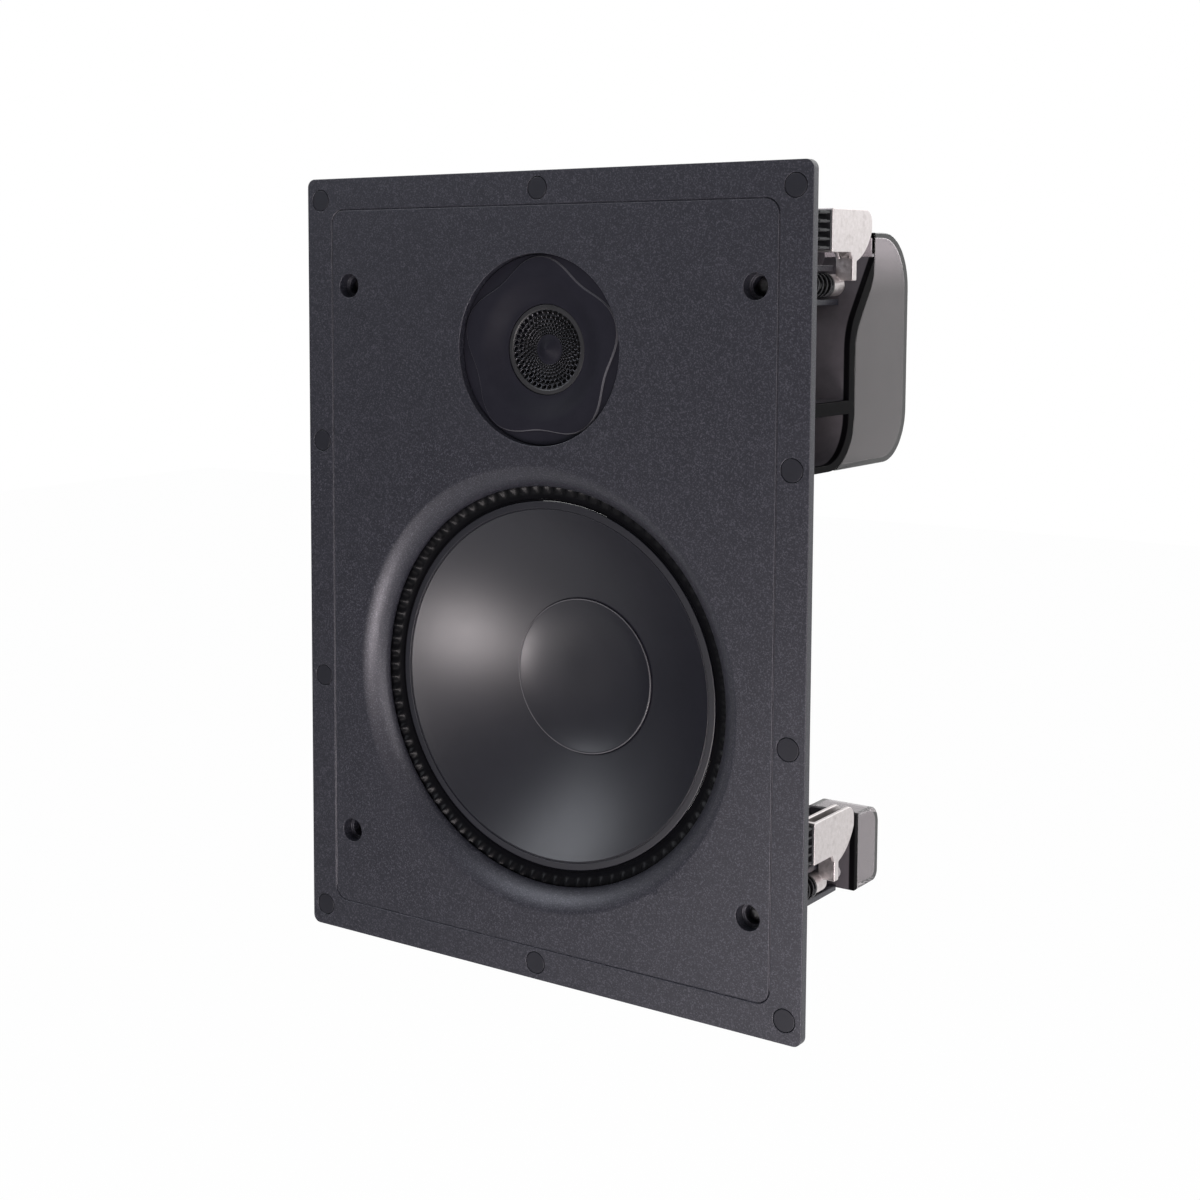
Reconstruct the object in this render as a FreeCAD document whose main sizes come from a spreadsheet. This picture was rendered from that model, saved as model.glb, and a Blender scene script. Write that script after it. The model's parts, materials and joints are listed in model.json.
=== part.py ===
# In-wall loudspeaker: a moulded baffle with an 8 inch woofer, a dome tweeter behind a metal lens,
# ten flush grille magnets, four swing-out wall clamps and a crossover under a smoky rear cover.
# Frame: X to the right, Z up, Y into the wall; the origin is the centre of the flange's back plane.
import FreeCAD, Part
import math
import os
import Sketcher

os.makedirs("parts", exist_ok=True)
doc = FreeCAD.newDocument("InWallSpeaker")
sheet = doc.addObject("Spreadsheet::Sheet", "Sizes")
vector = FreeCAD.Vector


class Size:
    # a length of the sheet, or a sum or a product of such lengths, with the expression that gives it
    def __init__(self, value, text):
        self.value = value
        self.text = text

    def __add__(self, other):
        other = as_size(other)
        return Size(self.value + other.value, f"({self.text} + {other.text})")

    def __sub__(self, other):
        other = as_size(other)
        return Size(self.value - other.value, f"({self.text} - {other.text})")

    def __mul__(self, other):
        other = as_size(other)
        return Size(self.value * other.value, f"({self.text} * {other.text})")

    def __truediv__(self, other):
        other = as_size(other)
        return Size(self.value / other.value, f"({self.text} / {other.text})")

    def __neg__(self):
        return Size(-self.value, f"(0 - {self.text})")

    def __radd__(self, other):
        return as_size(other) + self

    def __rsub__(self, other):
        return as_size(other) - self

    def __rmul__(self, other):
        return as_size(other) * self


def as_size(number):
    return number if isinstance(number, Size) else Size(number, f"({number:.9g})")


table = [
    ("plate_width", 273, "flange, across"),
    ("plate_height", 375, "flange, upright"),
    ("plate_thickness", 4.6, "flange, front to back"),
    ("plate_corner", 4, "corner radius of the flange"),
    ("panel_width", 243, "raised panel behind the flange that enters the cut-out"),
    ("panel_height", 345, "raised panel, upright"),
    ("panel_rise", 1.4, "height of the raised panel"),
    ("groove_width", 0.6, "fine line round the front"),
    ("groove_depth", 0.6, "depth of the fine line"),
    ("groove_corner", 7, "corner radius of the fine line"),
    ("lip_depth", 14, "locating lips behind the panel"),
    ("lip_wall", 2.5, "thickness of the locating lips"),
    ("side_lip_length", 176, "length of each side lip"),
    ("end_lip_length", 144, "length of each end lip"),
    ("magnet_radius", 5, "grille magnet"),
    ("magnet_length", 3.2, "grille magnet"),
    ("magnet_gap", 0.25, "play round a magnet in its pocket"),
    ("magnet_inset", 8.1, "magnet axis to the side edge"),
    ("magnet_end_inset", 7.9, "middle magnet to the end edge"),
    ("magnet_corner_inset", 10.5, "corner magnet to the end edge"),
    ("magnet_side_offset", 59.1, "side magnet from the middle"),
    ("woofer_drop", 50.5, "woofer axis below the middle"),
    ("flare_radius", 104.5, "woofer flare at the front"),
    ("opening_radius", 94, "woofer opening behind the flare"),
    ("flare_depth", 9.2, "depth of the flare"),
    ("boss_radius", 109.5, "woofer boss behind the plate"),
    ("boss_depth", 6, "woofer boss behind the flange"),
    ("basket_radius", 107.5, "rim of the woofer basket"),
    ("gasket_depth", 3.7, "gasket between boss and basket"),
    ("rim_thickness", 2.5, "rim of the basket"),
    ("basket_wall", 2.2, "sheet of the basket"),
    ("shelf_radius", 60, "spider shelf of the basket"),
    ("shelf_depth", 52, "spider shelf behind the flange"),
    ("basket_depth", 66, "back of the basket"),
    ("basket_neck", 47, "radius of the basket at its back"),
    ("window_width", 34, "window of the basket"),
    ("surround_outer", 101, "outer edge of the surround"),
    ("surround_fold", 97.5, "outer foot of the surround's roll"),
    ("surround_sheet", 0.8, "thickness of the surround"),
    ("surround_rise", 2.2, "height of the roll"),
    ("cone_radius", 86.7, "outer edge of the cone"),
    ("cone_ring", 3.4, "width of the ring at the cone's edge"),
    ("cone_front", 12.8, "cone edge behind the front"),
    ("cone_sheet", 1.1, "thickness of the cone"),
    ("seam_radius", 37, "edge of the dust cap"),
    ("seam_depth", 41, "edge of the dust cap behind the front"),
    ("cap_dish", 7, "depth of the concave dust cap"),
    ("neck_depth", 51.5, "cone neck behind the front"),
    ("coil_radius", 20.3, "outside of the voice coil former"),
    ("coil_wall", 0.8, "wall of the former"),
    ("coil_length", 32, "length of the former"),
    ("coil_gap", 1.0, "air gap on each side of the coil"),
    ("motor_radius", 50, "steel plates of the woofer motor"),
    ("top_plate", 6, "thickness of the steel plates"),
    ("ferrite_radius", 60, "woofer ring magnet"),
    ("ferrite_length", 18, "woofer ring magnet"),
    ("vent_radius", 6, "hole through the pole"),
    ("woofer_screw_circle", 104, "radius of the circle of woofer screws"),
    ("screw_radius", 1.9, "shank of the driver screws"),
    ("screw_head", 3.3, "head radius of the driver screws"),
    ("head_height", 2.2, "head height of the driver screws"),
    ("screw_reach", 5.5, "depth of the driver screws in the moulding"),
    ("thread_gap", 0.05, "play of a screw in its hole"),
    ("tweeter_rise", 106.5, "tweeter axis above the middle"),
    ("face_radius", 43.55, "tweeter faceplate"),
    ("face_gap", 0.3, "play round the faceplate"),
    ("face_recess", 3.3, "faceplate edge behind the front"),
    ("face_thickness", 3, "faceplate edge"),
    ("lobe_rise", 1, "height of the lobed plateau"),
    ("lobe_radius", 42.5, "tip of a lobe"),
    ("lobe_valley", 36.5, "valley between two lobes"),
    ("guide_radius", 32, "start of the waveguide"),
    ("mouth_radius", 20.85, "opening round the lens"),
    ("mouth_depth", 7.5, "opening behind the front"),
    ("ledge_radius", 18.8, "ledge that the lens rests on"),
    ("neck_radius", 31, "rear neck of the faceplate"),
    ("neck_length", 13.6, "rear neck behind the flange"),
    ("seat_depth", 5, "tweeter seat behind the flange"),
    ("seat_radius", 47.5, "tweeter seat"),
    ("lens_sheet", 0.8, "thickness of the lens"),
    ("lens_dish", 2.4, "depth of the lens"),
    ("bullet_radius", 6, "solid centre of the lens"),
    ("bullet_height", 4.4, "height of the centre cone"),
    ("dome_radius", 13, "tweeter dome"),
    ("dome_height", 4.2, "rise of the dome"),
    ("dome_sheet", 0.4, "thickness of the dome"),
    ("tweeter_plate", 4, "steel plates of the tweeter"),
    ("tweeter_magnet", 8.4, "tweeter ring magnet"),
    ("cup_radius", 28.5, "rear cup of the tweeter"),
    ("cup_depth", 18, "rear cup of the tweeter"),
    ("tweeter_screw_circle", 38, "circle of the tweeter screws"),
    ("clamp_across", 110.5, "clamp screw from the middle, across"),
    ("clamp_up", 135.5, "clamp screw from the middle, upright"),
    ("access_radius", 5.8, "screwdriver hole"),
    ("access_depth", 6, "screwdriver hole"),
    ("head_pocket", 4.4, "pocket for the clamp screw's head"),
    ("pocket_depth", 4.6, "depth of that pocket"),
    ("floor_wall", 3, "floor that the screw head pulls on"),
    ("clamp_boss", 8.6, "outside of the screw boss"),
    ("clamp_shank", 2, "clamp screw"),
    ("clamp_play", 0.3, "play round the clamp screw"),
    ("clamp_head", 3.9, "head of the clamp screw"),
    ("clamp_head_height", 2.6, "head of the clamp screw"),
    ("clamp_tip", 3, "tip of the clamp screw behind the hub of an upper arm"),
    ("spring_radius", 5.8, "clamp spring"),
    ("spring_wire", 1.1, "clamp spring"),
    ("washer_thickness", 1.2, "washer between spring and hub"),
    ("part_gap", 0.3, "play between moving pieces"),
    ("hub_front", 58.4, "hub of an upper arm behind the flange"),
    ("hub_radius", 4.9, "hub"),
    ("hub_length", 11.6, "hub"),
    ("lower_shift", 8, "a lower arm rests this much further forward"),
    ("cheek_start", 2.2, "inner cheek from the screw axis"),
    ("cheek_end", 10.5, "outer cheek face from the screw axis"),
    ("cheek_wall", 2, "thickness of a cheek"),
    ("flag_low", 14.5, "flag of the arm, near edge"),
    ("flag_high", 33.5, "flag of the arm, far edge"),
    ("flag_lead", 13, "flag reaches this far ahead of the hub"),
    ("arm_back", 27, "back edge of the arm behind the hub front"),
    ("arm_corner", 6, "rounded back corner of the arm"),
    ("leg_front", 7.5, "front of the leg behind the hub front"),
    ("leg_low", 2, "lowest edge of the leg above the axis"),
    ("pad_reach", 12, "toothed pad ahead of the flag"),
    ("pad_base", 1.4, "base of the pad"),
    ("tooth_thickness", 1.7, "ridge of the pad"),
    ("rail_inner", 6.2, "guide rail from the screw axis"),
    ("rail_outer", 8.9, "guide rail from the screw axis"),
    ("rail_edge", 1.5, "outer edge of the rail beyond the screw axis"),
    ("upper_rail", 65.4, "upper guide rail behind the flange"),
    ("lower_rail", 78.4, "lower guide rail behind the flange"),
    ("middle_rail", 71, "lower guide rail of an upper clamp behind the flange"),
    ("bay_wall", 2, "inner wall of a clamp bay"),
    ("bay_inner", 96.5, "inner wall of a clamp bay from the middle"),
    ("cover_across", 121, "half width of tray and cover"),
    ("cover_top", 159, "top of the cover"),
    ("cover_bottom", 54, "bottom of the cover"),
    ("tray_front", 64, "front of the rear tray behind the flange"),
    ("tray_wall", 3, "wall of the rear tray"),
    ("tray_rim", 6, "black rim of the tray round the cover's mouth"),
    ("tray_corner", 24, "lower corner of the tray, outside"),
    ("cover_back", 125.4, "back of the cover behind the flange"),
    ("cover_wall", 2.2, "wall of the smoky cover"),
    ("cover_round", 26, "top back edge of the cover"),
    ("cover_round_low", 24, "lower back edge of the cover"),
    ("relief_inner", 99.5, "clamp relief from the middle"),
    ("relief_depth", 3, "right relief behind the back of the arm"),
    ("relief_drop", 28.5, "start of the right relief below the screw axis"),
    ("relief_bend", 21, "bends of the right relief"),
    ("left_relief_depth", 8, "left relief behind the back of the arm"),
    ("left_relief_drop", 53, "start of the left relief below the screw axis"),
    ("left_relief_bend", 6.5, "bends of the left relief"),
    ("pillar_low", 78.5, "lower side of the tray's side pillar"),
    ("pillar_height", 6, "side pillar"),
    ("post_radius", 4, "screw post inside the cover"),
    ("post_across", 84, "screw post from the middle"),
    ("post_inset", 31, "screw post from top and bottom"),
    ("board_across", 144, "crossover board"),
    ("board_height", 72, "crossover board"),
    ("board_thickness", 1.6, "crossover board"),
    ("board_standoff", 7.6, "board above the tray"),
    ("cap_under", 7.5, "lower edge of a clamp cap below the screw axis"),
    ("cap_over", 28.5, "upper edge of a clamp cap above the screw axis"),
    ("cap_rim", 3, "black rim of a clamp cap"),
    ("cap_length", 22, "smoky clamp cap"),
    ("cap_wall", 1.8, "wall of a clamp cap"),
    ("cap_round", 9, "upper back edge of a clamp cap"),
    ("terminal_across", 48, "terminal block"),
    ("terminal_height", 22, "terminal block"),
    ("terminal_depth", 15, "terminal block"),
    ("terminal_lift", 26, "terminal block above the bottom of the cover"),
    ("terminal_proud", 1.6, "terminal block behind the cover"),
]
for row, (alias, number, meaning) in enumerate(table, start=1):
    sheet.set(f"A{row}", alias)
    sheet.set(f"B{row}", str(number))
    sheet.set(f"C{row}", meaning)
    sheet.setAlias(f"B{row}", alias)
doc.recompute()


class Table:
    pass


s = Table()
for alias, number, meaning in table:
    setattr(s, alias, Size(float(number), f"Sizes.{alias}"))


def bind(thing, **lengths):
    for name, length in lengths.items():
        length = as_size(length)
        setattr(thing, name, length.value)
        thing.setExpression(name, length.text)


def place(thing, x=0, y=0, z=0):
    x, y, z = as_size(x), as_size(y), as_size(z)
    thing.Placement = FreeCAD.Placement(vector(x.value, y.value, z.value), thing.Placement.Rotation)
    thing.setExpression("Placement.Base.x", x.text)
    thing.setExpression("Placement.Base.y", y.text)
    thing.setExpression("Placement.Base.z", z.text)
    return thing


def block(name, x, y, z):
    thing = doc.addObject("Part::Box", name)
    bind(thing, Length=x[1] - x[0], Width=y[1] - y[0], Height=z[1] - z[0])
    return place(thing, x[0], y[0], z[0])


def rod(name, radius, y, x=0, z=0):
    # a cylinder along Y
    thing = doc.addObject("Part::Cylinder", name)
    bind(thing, Radius=radius, Height=y[1] - y[0])
    thing.Placement = FreeCAD.Placement(vector(), FreeCAD.Rotation(vector(1, 0, 0), -90))
    return place(thing, x, y[0], z)


def rod_across(name, radius, x, y, z):
    # a cylinder along X
    thing = doc.addObject("Part::Cylinder", name)
    bind(thing, Radius=radius, Height=x[1] - x[0])
    thing.Placement = FreeCAD.Placement(vector(), FreeCAD.Rotation(vector(0, 1, 0), 90))
    return place(thing, x[0], y, z)


def fuse(name, things):
    thing = doc.addObject("Part::MultiFuse", name)
    thing.Shapes = things
    return thing


def group(name, things):
    thing = doc.addObject("Part::Compound", name)
    thing.Links = things
    return thing


def cut(name, base, tools):
    tool = tools[0] if len(tools) == 1 else fuse(name + "Tools", tools)
    thing = doc.addObject("Part::Cut", name)
    thing.Base = base
    thing.Tool = tool
    return thing


def turn_about_y(thing, degrees):
    # swings a thing that lies along +X round the Y axis through its own foot
    spin = FreeCAD.Rotation(vector(0, 1, 0), -degrees)
    thing.Placement = FreeCAD.Placement(thing.Placement.Base, spin.multiply(thing.Placement.Rotation))
    return thing


def draw(sketch, path):
    # a closed outline; a corner is (across, along), or (across, along, sag) where the next side bows
    # to the left of its direction by sag, or to the right where sag is negative
    path = [[as_size(number) for number in corner] for corner in path]
    ends = []
    rules = []
    bound = []
    for corner, after in zip(path, path[1:] + path[:1]):
        first = vector(corner[0].value, corner[1].value, 0)
        last = vector(after[0].value, after[1].value, 0)
        if len(corner) == 2:
            side = sketch.addGeometry(Part.LineSegment(first, last), False)
        else:
            along = last - first
            left = vector(-along.y, along.x, 0).normalize()
            middle = (first + last) * 0.5 + left * corner[2].value
            side = sketch.addGeometry(Part.Arc(first, middle, last), False)
            dx, dy = after[0] - corner[0], after[1] - corner[1]
            sag = corner[2] if corner[2].value > 0 else -corner[2]
            radius = (dx * dx + dy * dy) / (8 * sag) + sag / 2
            bound.append((len(rules), radius))
            rules.append(Sketcher.Constraint("Radius", side, radius.value))
        straight = sketch.getPoint(side, 1).distanceToPoint(first) < 1e-6
        ends.append((side, 1, 2) if straight else (side, 2, 1))
    for corner, (side, start, end), (before, old_start, old_end) in zip(path, ends, ends[-1:] + ends[:-1]):
        rules.append(Sketcher.Constraint("Coincident", before, old_end, side, start))
        bound.append((len(rules), corner[0]))
        rules.append(Sketcher.Constraint("DistanceX", -1, 1, side, start, corner[0].value))
        bound.append((len(rules), corner[1]))
        rules.append(Sketcher.Constraint("DistanceY", -1, 1, side, start, corner[1].value))
    sketch.addConstraint(rules)
    for index, length in bound:
        sketch.setExpression(f"Constraints[{index}]", length.text)


def sketched(name, role):
    body = doc.addObject("PartDesign::Body", name)
    sketch = body.newObject("Sketcher::SketchObject", name + "Sketch")
    plane = [feature for feature in body.Origin.OriginFeatures if feature.Role == role][0]
    sketch.AttachmentSupport = (plane, [""])
    sketch.MapMode = "FlatFace"
    return body, sketch


def turned(name, path, x=0, y=0, z=0):
    # the outline gives radius and depth, and turns about the Y axis
    body, sketch = sketched(name, "XY_Plane")
    draw(sketch, path)
    turn = body.newObject("PartDesign::Revolution", name + "Turn")
    turn.Profile = sketch
    turn.ReferenceAxis = (sketch, ["V_Axis"])
    turn.Angle = 360
    return place(body, x, y, z)


def side_view(name, path, x):
    # the outline gives depth and height, and is padded along X
    body, sketch = sketched(name, "YZ_Plane")
    draw(sketch, path)
    pad = body.newObject("PartDesign::Pad", name + "Pad")
    pad.Profile = sketch
    bind(pad, Length=x[1] - x[0])
    return place(body, x[0], 0, 0)


def straight_edges(shape, way):
    names = []
    for number, edge in enumerate(shape.Edges, start=1):
        if edge.Curve.TypeId == "Part::GeomLine" and abs(edge.tangentAt(edge.FirstParameter).dot(way)) > 0.999:
            names.append(f"Edge{number}")
    return names


def rounded_panel(name, half_x, half_z, y, corner):
    # a rectangle about the middle, padded from y[0] to y[1], with round corners
    body, sketch = sketched(name, "XZ_Plane")
    draw(sketch, [(-half_x, -half_z), (half_x, -half_z), (half_x, half_z), (-half_x, half_z)])
    pad = body.newObject("PartDesign::Pad", name + "Pad")
    pad.Profile = sketch
    pad.Reversed = True
    bind(pad, Length=y[1] - y[0])
    doc.recompute()
    fillet = body.newObject("PartDesign::Fillet", name + "Corners")
    fillet.Base = (pad, straight_edges(pad.Shape, vector(0, 1, 0)))
    bind(fillet, Radius=corner)
    return place(body, 0, y[0], 0)


front = -s.plate_thickness
woofer_z = -s.woofer_drop
tweeter_z = s.tweeter_rise
half_x = s.plate_width / 2
half_z = s.plate_height / 2
panel_x = s.panel_width / 2
panel_z = s.panel_height / 2
back_skin = s.panel_rise
nodes = {}

# The clamp corners: side of the plate, upper or lower, and how far forward the arm rests.
corners = []
for right in (1, -1):
    for upper in (1, -1):
        name = ("Upper" if upper > 0 else "Lower") + ("Right" if right > 0 else "Left")
        shift = s.lower_shift if upper < 0 else as_size(0)
        corners.append((name, right, upper, s.clamp_across * right, s.clamp_up * upper, shift))


def span(low, high, side):
    # a stretch beyond the middle, on the side with the given sign
    return (low, high) if side > 0 else (-high, -low)


# Baffle: one moulding.
solids = [
    rounded_panel("Flange", half_x, half_z, (front, as_size(0)), s.plate_corner),
    rounded_panel("RaisedPanel", panel_x, panel_z, (as_size(0), back_skin), s.groove_corner),
    rod("WooferBoss", s.boss_radius, (as_size(0), s.boss_depth), 0, woofer_z),
    rod("TweeterSeat", s.seat_radius, (as_size(0), s.seat_depth), 0, tweeter_z),
]
lip = (as_size(0), s.lip_depth)
for side in (1, -1):
    where = "Right" if side > 0 else "Left"
    solids.append(block(f"Lip{where}", span(panel_x - s.lip_wall, panel_x, side), lip,
                        (-s.side_lip_length / 2, s.side_lip_length / 2)))
    where = "Top" if side > 0 else "Bottom"
    solids.append(block(f"Lip{where}", (-s.end_lip_length / 2, s.end_lip_length / 2), lip,
                        span(panel_z - s.lip_wall, panel_z, side)))

pocket_back = front + s.access_depth + s.pocket_depth
spring_seat = pocket_back + s.floor_wall
for name, right, upper, x, z, shift in corners:
    solids.append(rod(f"ScrewBoss{name}", s.clamp_boss, (as_size(0), spring_seat), x, z))
    rails = span(s.bay_inner, s.clamp_across + s.rail_edge, right)
    ends = {1: s.upper_rail, -1: s.middle_rail if upper > 0 else s.lower_rail}
    for way in (1, -1):
        solids.append(block(f"Rail{name}{'Over' if way > 0 else 'Under'}", rails, (as_size(0), ends[way]),
                            (z + span(s.rail_inner, s.rail_outer, way)[0],
                             z + span(s.rail_inner, s.rail_outer, way)[1])))
    if upper > 0:
        wall = (z - s.rail_outer, z + s.rail_outer)
        depth = s.upper_rail
    else:
        wall = (-s.clamp_up - s.cap_under, s.cap_over - s.clamp_up)
        depth = s.lower_rail
    solids.append(block(f"BayWall{name}", span(s.bay_inner, s.bay_inner + s.bay_wall, right),
                        (as_size(0), depth), wall))

cuts = [
    turned("FlareCut", [(0, -2 * s.plate_thickness), (s.flare_radius, -2 * s.plate_thickness),
                        (s.flare_radius, front, 1.6), (s.opening_radius, front + s.flare_depth),
                        (s.opening_radius, 2 * s.boss_depth), (0, 2 * s.boss_depth)], 0, 0, woofer_z),
    rod("TweeterRecess", s.face_radius + s.face_gap,
        (2 * front, front + s.face_recess + s.face_thickness), 0, tweeter_z),
    rod("TweeterHole", s.neck_radius + s.face_gap, (front, 2 * s.seat_depth), 0, tweeter_z),
]
for name, right, upper, x, z, shift in corners:
    cuts.append(rod(f"Access{name}", s.access_radius, (2 * front, front + s.access_depth), x, z))
    cuts.append(rod(f"HeadPocket{name}", s.head_pocket, (front, pocket_back), x, z))
    cuts.append(rod(f"ShankHole{name}", s.clamp_shank + s.clamp_play, (as_size(0), 2 * spring_seat), x, z))

magnet_spots = [(0, half_z - s.magnet_end_inset), (0, s.magnet_end_inset - half_z)]
for side in (1, -1):
    for height in (half_z - s.magnet_corner_inset, s.magnet_side_offset):
        magnet_spots.append((side * (half_x - s.magnet_inset), height))
        magnet_spots.append((side * (half_x - s.magnet_inset), -height))
pocket_floor = front + s.magnet_length + 0.05
for number, (x, z) in enumerate(magnet_spots, start=1):
    cuts.append(rod(f"MagnetPocket{number}", s.magnet_radius + s.magnet_gap, (2 * front, pocket_floor), x, z))

line = cut("FineLine", rounded_panel("LineOutside", panel_x, panel_z, (2 * front, front + s.groove_depth),
                                     s.groove_corner),
           [rounded_panel("LineInside", panel_x - s.groove_width, panel_z - s.groove_width,
                          (3 * front, as_size(0)), s.groove_corner - s.groove_width)])
cuts.append(line)

woofer_screws = []
basket_front = s.boss_depth + s.gasket_depth
basket_rim_back = basket_front + s.rim_thickness
for number in range(8):
    angle = math.radians(22.5 + 45 * number)
    x = s.woofer_screw_circle * round(math.cos(angle), 9)
    z = woofer_z + s.woofer_screw_circle * round(math.sin(angle), 9)
    woofer_screws.append((number + 1, x, z))
    cuts.append(rod(f"WooferPilot{number + 1}", s.screw_radius + s.thread_gap,
                    (s.boss_depth - s.screw_reach, s.boss_depth + 1), x, z))
tweeter_screws = []
seat_front = front + s.face_recess + s.face_thickness
for number in range(5):
    angle = math.radians(90 + 72 * number)
    x = s.tweeter_screw_circle * round(math.cos(angle), 9)
    z = tweeter_z + s.tweeter_screw_circle * round(math.sin(angle), 9)
    tweeter_screws.append((number + 1, x, z))
    cuts.append(rod(f"TweeterPass{number + 1}", s.screw_radius + s.thread_gap,
                    (front, 2 * s.seat_depth), x, z))
nodes["baffle"] = cut("Baffle", fuse("BaffleSolids", solids), cuts)

nodes["grille_magnets"] = group("GrilleMagnets", [
    rod(f"Magnet{number}", s.magnet_radius, (pocket_floor - s.magnet_length, pocket_floor), x, z)
    for number, (x, z) in enumerate(magnet_spots, start=1)])

# Woofer.
cone_y = front + s.cone_front
seam_y = front + s.seam_depth
neck_y = front + s.neck_depth
ring_in = s.cone_radius - s.cone_ring
neck_in = s.coil_radius + 0.05
nodes["woofer_cone"] = turned("WooferCone", [
    (s.cone_radius, cone_y), (s.cone_radius, cone_y + s.cone_sheet),
    (ring_in, cone_y + s.cone_sheet, -2.6), (s.seam_radius, seam_y + s.cone_sheet),
    (neck_in, neck_y + s.cone_sheet), (neck_in, neck_y), (s.seam_radius, seam_y, 2.6),
    (ring_in, cone_y)], 0, 0, woofer_z)
cap_edge = s.seam_radius - 0.05
nodes["woofer_dust_cap"] = turned("DustCap", [
    (0, seam_y + s.cap_dish - s.cone_sheet), (1, seam_y + s.cap_dish - s.cone_sheet, s.cap_dish / 4),
    (cap_edge, seam_y - s.cone_sheet), (cap_edge, seam_y, -s.cap_dish / 4), (1, seam_y + s.cap_dish),
    (0, seam_y + s.cap_dish)], 0, 0, woofer_z)
former_front = neck_y + s.cone_sheet - 3.5
nodes["voice_coil_former"] = turned("Former", [
    (s.coil_radius - s.coil_wall, former_front), (s.coil_radius, former_front),
    (s.coil_radius, former_front + s.coil_length),
    (s.coil_radius - s.coil_wall, former_front + s.coil_length)], 0, 0, woofer_z)
nodes["woofer_surround"] = turned("Surround", [
    (s.cone_radius + 0.05, cone_y), (s.cone_radius + 1, cone_y, -s.surround_rise),
    (s.surround_fold, cone_y + 0.6), (s.surround_outer, cone_y + 0.6),
    (s.surround_outer, basket_front), (s.surround_fold, basket_front, s.surround_rise),
    (s.cone_radius + 1, cone_y + s.surround_sheet), (s.cone_radius + 0.05, cone_y + s.surround_sheet)],
    0, 0, woofer_z)
nodes["woofer_gasket"] = cut("Gasket", turned("GasketRing", [
    (s.surround_outer + 0.2, s.boss_depth), (s.basket_radius, s.boss_depth),
    (s.basket_radius, basket_front), (s.surround_outer + 0.2, basket_front)], 0, 0, woofer_z),
    [rod(f"GasketPass{number}", s.screw_radius + s.thread_gap, (as_size(0), 2 * basket_front), x, z)
     for number, x, z in woofer_screws])
shelf_in = s.shelf_radius - 8
basket = turned("BasketForm", [
    (s.surround_fold, basket_front), (s.basket_radius, basket_front),
    (s.basket_radius, basket_rim_back), (s.surround_fold + 1.4, basket_rim_back),
    (s.shelf_radius + 1.4, s.shelf_depth + s.basket_wall), (shelf_in + 0.6, s.shelf_depth + s.basket_wall),
    (s.basket_neck + 1.2, s.basket_depth), (s.coil_radius + 4, s.basket_depth),
    (s.coil_radius + 4, s.basket_depth - s.basket_wall), (s.basket_neck - 1, s.basket_depth - s.basket_wall),
    (shelf_in - 1.4, s.shelf_depth), (s.shelf_radius - 0.6, s.shelf_depth)], 0, 0, woofer_z)
windows = []
for number in range(6):
    window = block(f"Window{number + 1}", (s.shelf_radius, s.surround_fold + 6),
                   (basket_rim_back + 5, s.shelf_depth - 5), (-s.window_width / 2, s.window_width / 2))
    angle = 30 + 60 * number
    turn_about_y(window, angle)
    reach, rise = math.cos(math.radians(angle)), math.sin(math.radians(angle))
    place(window, s.shelf_radius * reach + s.window_width / 2 * rise,
          basket_rim_back + 5, woofer_z + s.shelf_radius * rise - s.window_width / 2 * reach)
    windows.append(window)
basket_holes = [rod(f"BasketPass{number}", s.screw_radius + s.thread_gap, (as_size(0), 2 * basket_front), x, z)
                for number, x, z in woofer_screws]
nodes["woofer_basket"] = cut("Basket", basket, windows + basket_holes)
nodes["woofer_spider"] = turned("Spider", [
    (s.coil_radius + 0.1, s.shelf_depth - 3.2), (s.coil_radius + 8, s.shelf_depth - 3.2, 1.2),
    (s.coil_radius + 15, s.shelf_depth - 2), (s.coil_radius + 22, s.shelf_depth - 2, -1.2),
    (shelf_in - 0.4, s.shelf_depth - 0.8), (s.shelf_radius - 2.6, s.shelf_depth - 0.8),
    (s.shelf_radius - 2.6, s.shelf_depth), (shelf_in - 1, s.shelf_depth, 1.2),
    (s.coil_radius + 22, s.shelf_depth - 1.2), (s.coil_radius + 15, s.shelf_depth - 1.2, -1.2),
    (s.coil_radius + 8, s.shelf_depth - 2.4), (s.coil_radius + 0.1, s.shelf_depth - 2.4)], 0, 0, woofer_z)
plate_back = s.basket_depth + s.top_plate
ferrite_back = plate_back + s.ferrite_length
pole = s.coil_radius - s.coil_wall - s.coil_gap
nodes["woofer_top_plate"] = turned("TopPlate", [
    (s.coil_radius + s.coil_gap, s.basket_depth), (s.motor_radius, s.basket_depth),
    (s.motor_radius, plate_back), (s.coil_radius + s.coil_gap, plate_back)], 0, 0, woofer_z)
nodes["woofer_magnet"] = turned("Ferrite", [
    (s.coil_radius + 4, plate_back), (s.ferrite_radius - 1.5, plate_back), (s.ferrite_radius, plate_back + 1.5),
    (s.ferrite_radius, ferrite_back - 1.5), (s.ferrite_radius - 1.5, ferrite_back),
    (s.coil_radius + 4, ferrite_back)], 0, 0, woofer_z)
nodes["woofer_back_plate"] = turned("BackPlate", [
    (s.vent_radius, s.basket_depth), (pole, s.basket_depth), (pole, ferrite_back),
    (s.motor_radius, ferrite_back), (s.motor_radius, ferrite_back + s.top_plate - 1),
    (s.motor_radius - 1, ferrite_back + s.top_plate), (s.vent_radius, ferrite_back + s.top_plate)],
    0, 0, woofer_z)
nodes["woofer_screws"] = group("WooferScrews", [
    fuse(f"WooferScrew{number}", [
        rod(f"WooferShank{number}", s.screw_radius, (s.boss_depth - s.screw_reach + 0.3, basket_rim_back), x, z),
        rod(f"WooferHead{number}", s.screw_head, (basket_rim_back, basket_rim_back + s.head_height), x, z)])
    for number, x, z in woofer_screws])

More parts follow.
